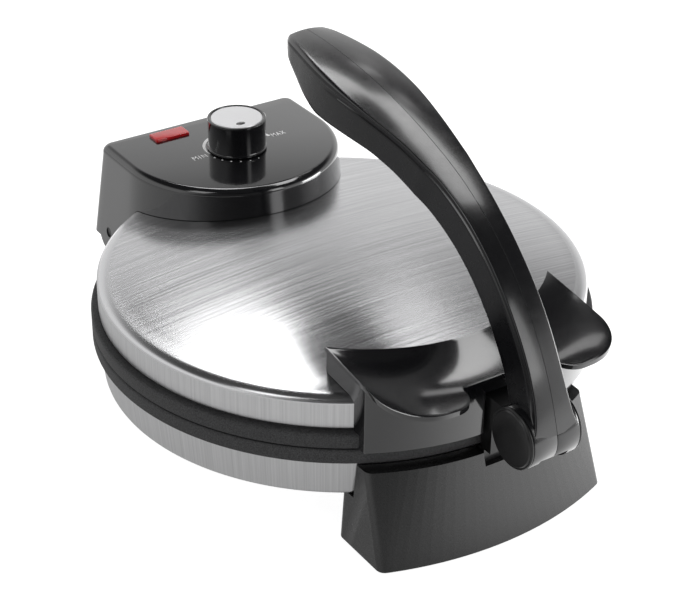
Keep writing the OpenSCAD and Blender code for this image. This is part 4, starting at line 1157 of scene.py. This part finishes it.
STAYING = {
    "ring": ["lower_ring", "upper_ring"],
    "coating": ["lower_plate", "upper_plate"],
    "sheath": ["lower_element", "upper_element"],
    "shield": ["lower_reflector", "upper_reflector"],
    "bolt": [
        "lower_plate_studs", "plate_screws", "foot_screws", "bracket_screws", "lever_axle",
        "upper_plate_studs", "handle_screws", "housing_screws", "thermostat_spindle",
        "lever_screws",
    ],
    "insulator": ["terminal_block", "thermal_fuse", "thermostat", "lamp_body"],
    "rubber": ["foot_pads", "cord_gland"],
    "satin": ["front_foot", "rear_stand", "housing_base"],
    "bracket": ["lever_bracket", "hinge_pins"],
}
# Radius of the softened edges in millimetres
SOFT_EDGES = {
    "front_foot": 1.0, "rear_stand": 0.8, "lever_bracket": 0.6, "foot_pads": 0.5,
    "cord_gland": 0.4, "lower_ring": 0.4, "upper_ring": 0.4, "terminal_block": 0.4,
    "thermostat": 0.4,
}
CURVED_MOULDINGS = ("front_foot", "rear_stand")
CREASE = math.radians(30)


def smooth_group():
    """Node group that shades every face of a node smooth, without a change to its mesh."""
    group = bpy.data.node_groups.new("shade_smooth", "GeometryNodeTree")
    group.interface.new_socket("Geometry", in_out="INPUT", socket_type="NodeSocketGeometry")
    group.interface.new_socket("Geometry", in_out="OUTPUT", socket_type="NodeSocketGeometry")
    start = group.nodes.new("NodeGroupInput")
    smooth = group.nodes.new("GeometryNodeSetShadeSmooth")
    end = group.nodes.new("NodeGroupOutput")
    group.links.new(start.outputs[0], smooth.inputs[0])
    group.links.new(smooth.outputs[0], end.inputs[0])
    return group


def dress(node, finish, smooth):
    """Finish for a CAD node that keeps its shape: merged, softened edges, smooth round faces."""
    piece = nodes[node]
    merge = piece.modifiers.new("merge", "WELD")
    merge.merge_threshold = 0.00001
    if node in SOFT_EDGES:
        flat = piece.modifiers.new("flatten", "DECIMATE")
        flat.decimate_type = "DISSOLVE"
        flat.angle_limit = math.radians(0.6)
        soft = piece.modifiers.new("soften", "BEVEL")
        soft.width = SOFT_EDGES[node] / 1000
        soft.segments = 3
        soft.limit_method = "ANGLE"
        soft.angle_limit = CREASE
        soft.harden_normals = False
        soft.use_clamp_overlap = True
    if node in CURVED_MOULDINGS:
        shade = piece.modifiers.new("shade", "NODES")
        shade.node_group = smooth
    split = piece.modifiers.new("crease", "EDGE_SPLIT")
    split.split_angle = CREASE
    if node in CURVED_MOULDINGS:
        even = piece.modifiers.new("even", "WEIGHTED_NORMAL")
        even.mode = "FACE_AREA"
        even.weight = 50
    piece.data.materials.clear()
    piece.data.materials.append(FINISHES[finish])


def dress_cad():
    smooth = smooth_group()
    for finish, members in STAYING.items():
        for node in members:
            dress(node, finish, smooth)


place_camera()
studio()
white_floor()
dress_cad()
lid_skin()
base_skin()
lever_halves()
lever_caps()
housing()
wing_handle()
knob_parts()
dial_print()
lamp()

scene.view_settings.view_transform = "Standard"
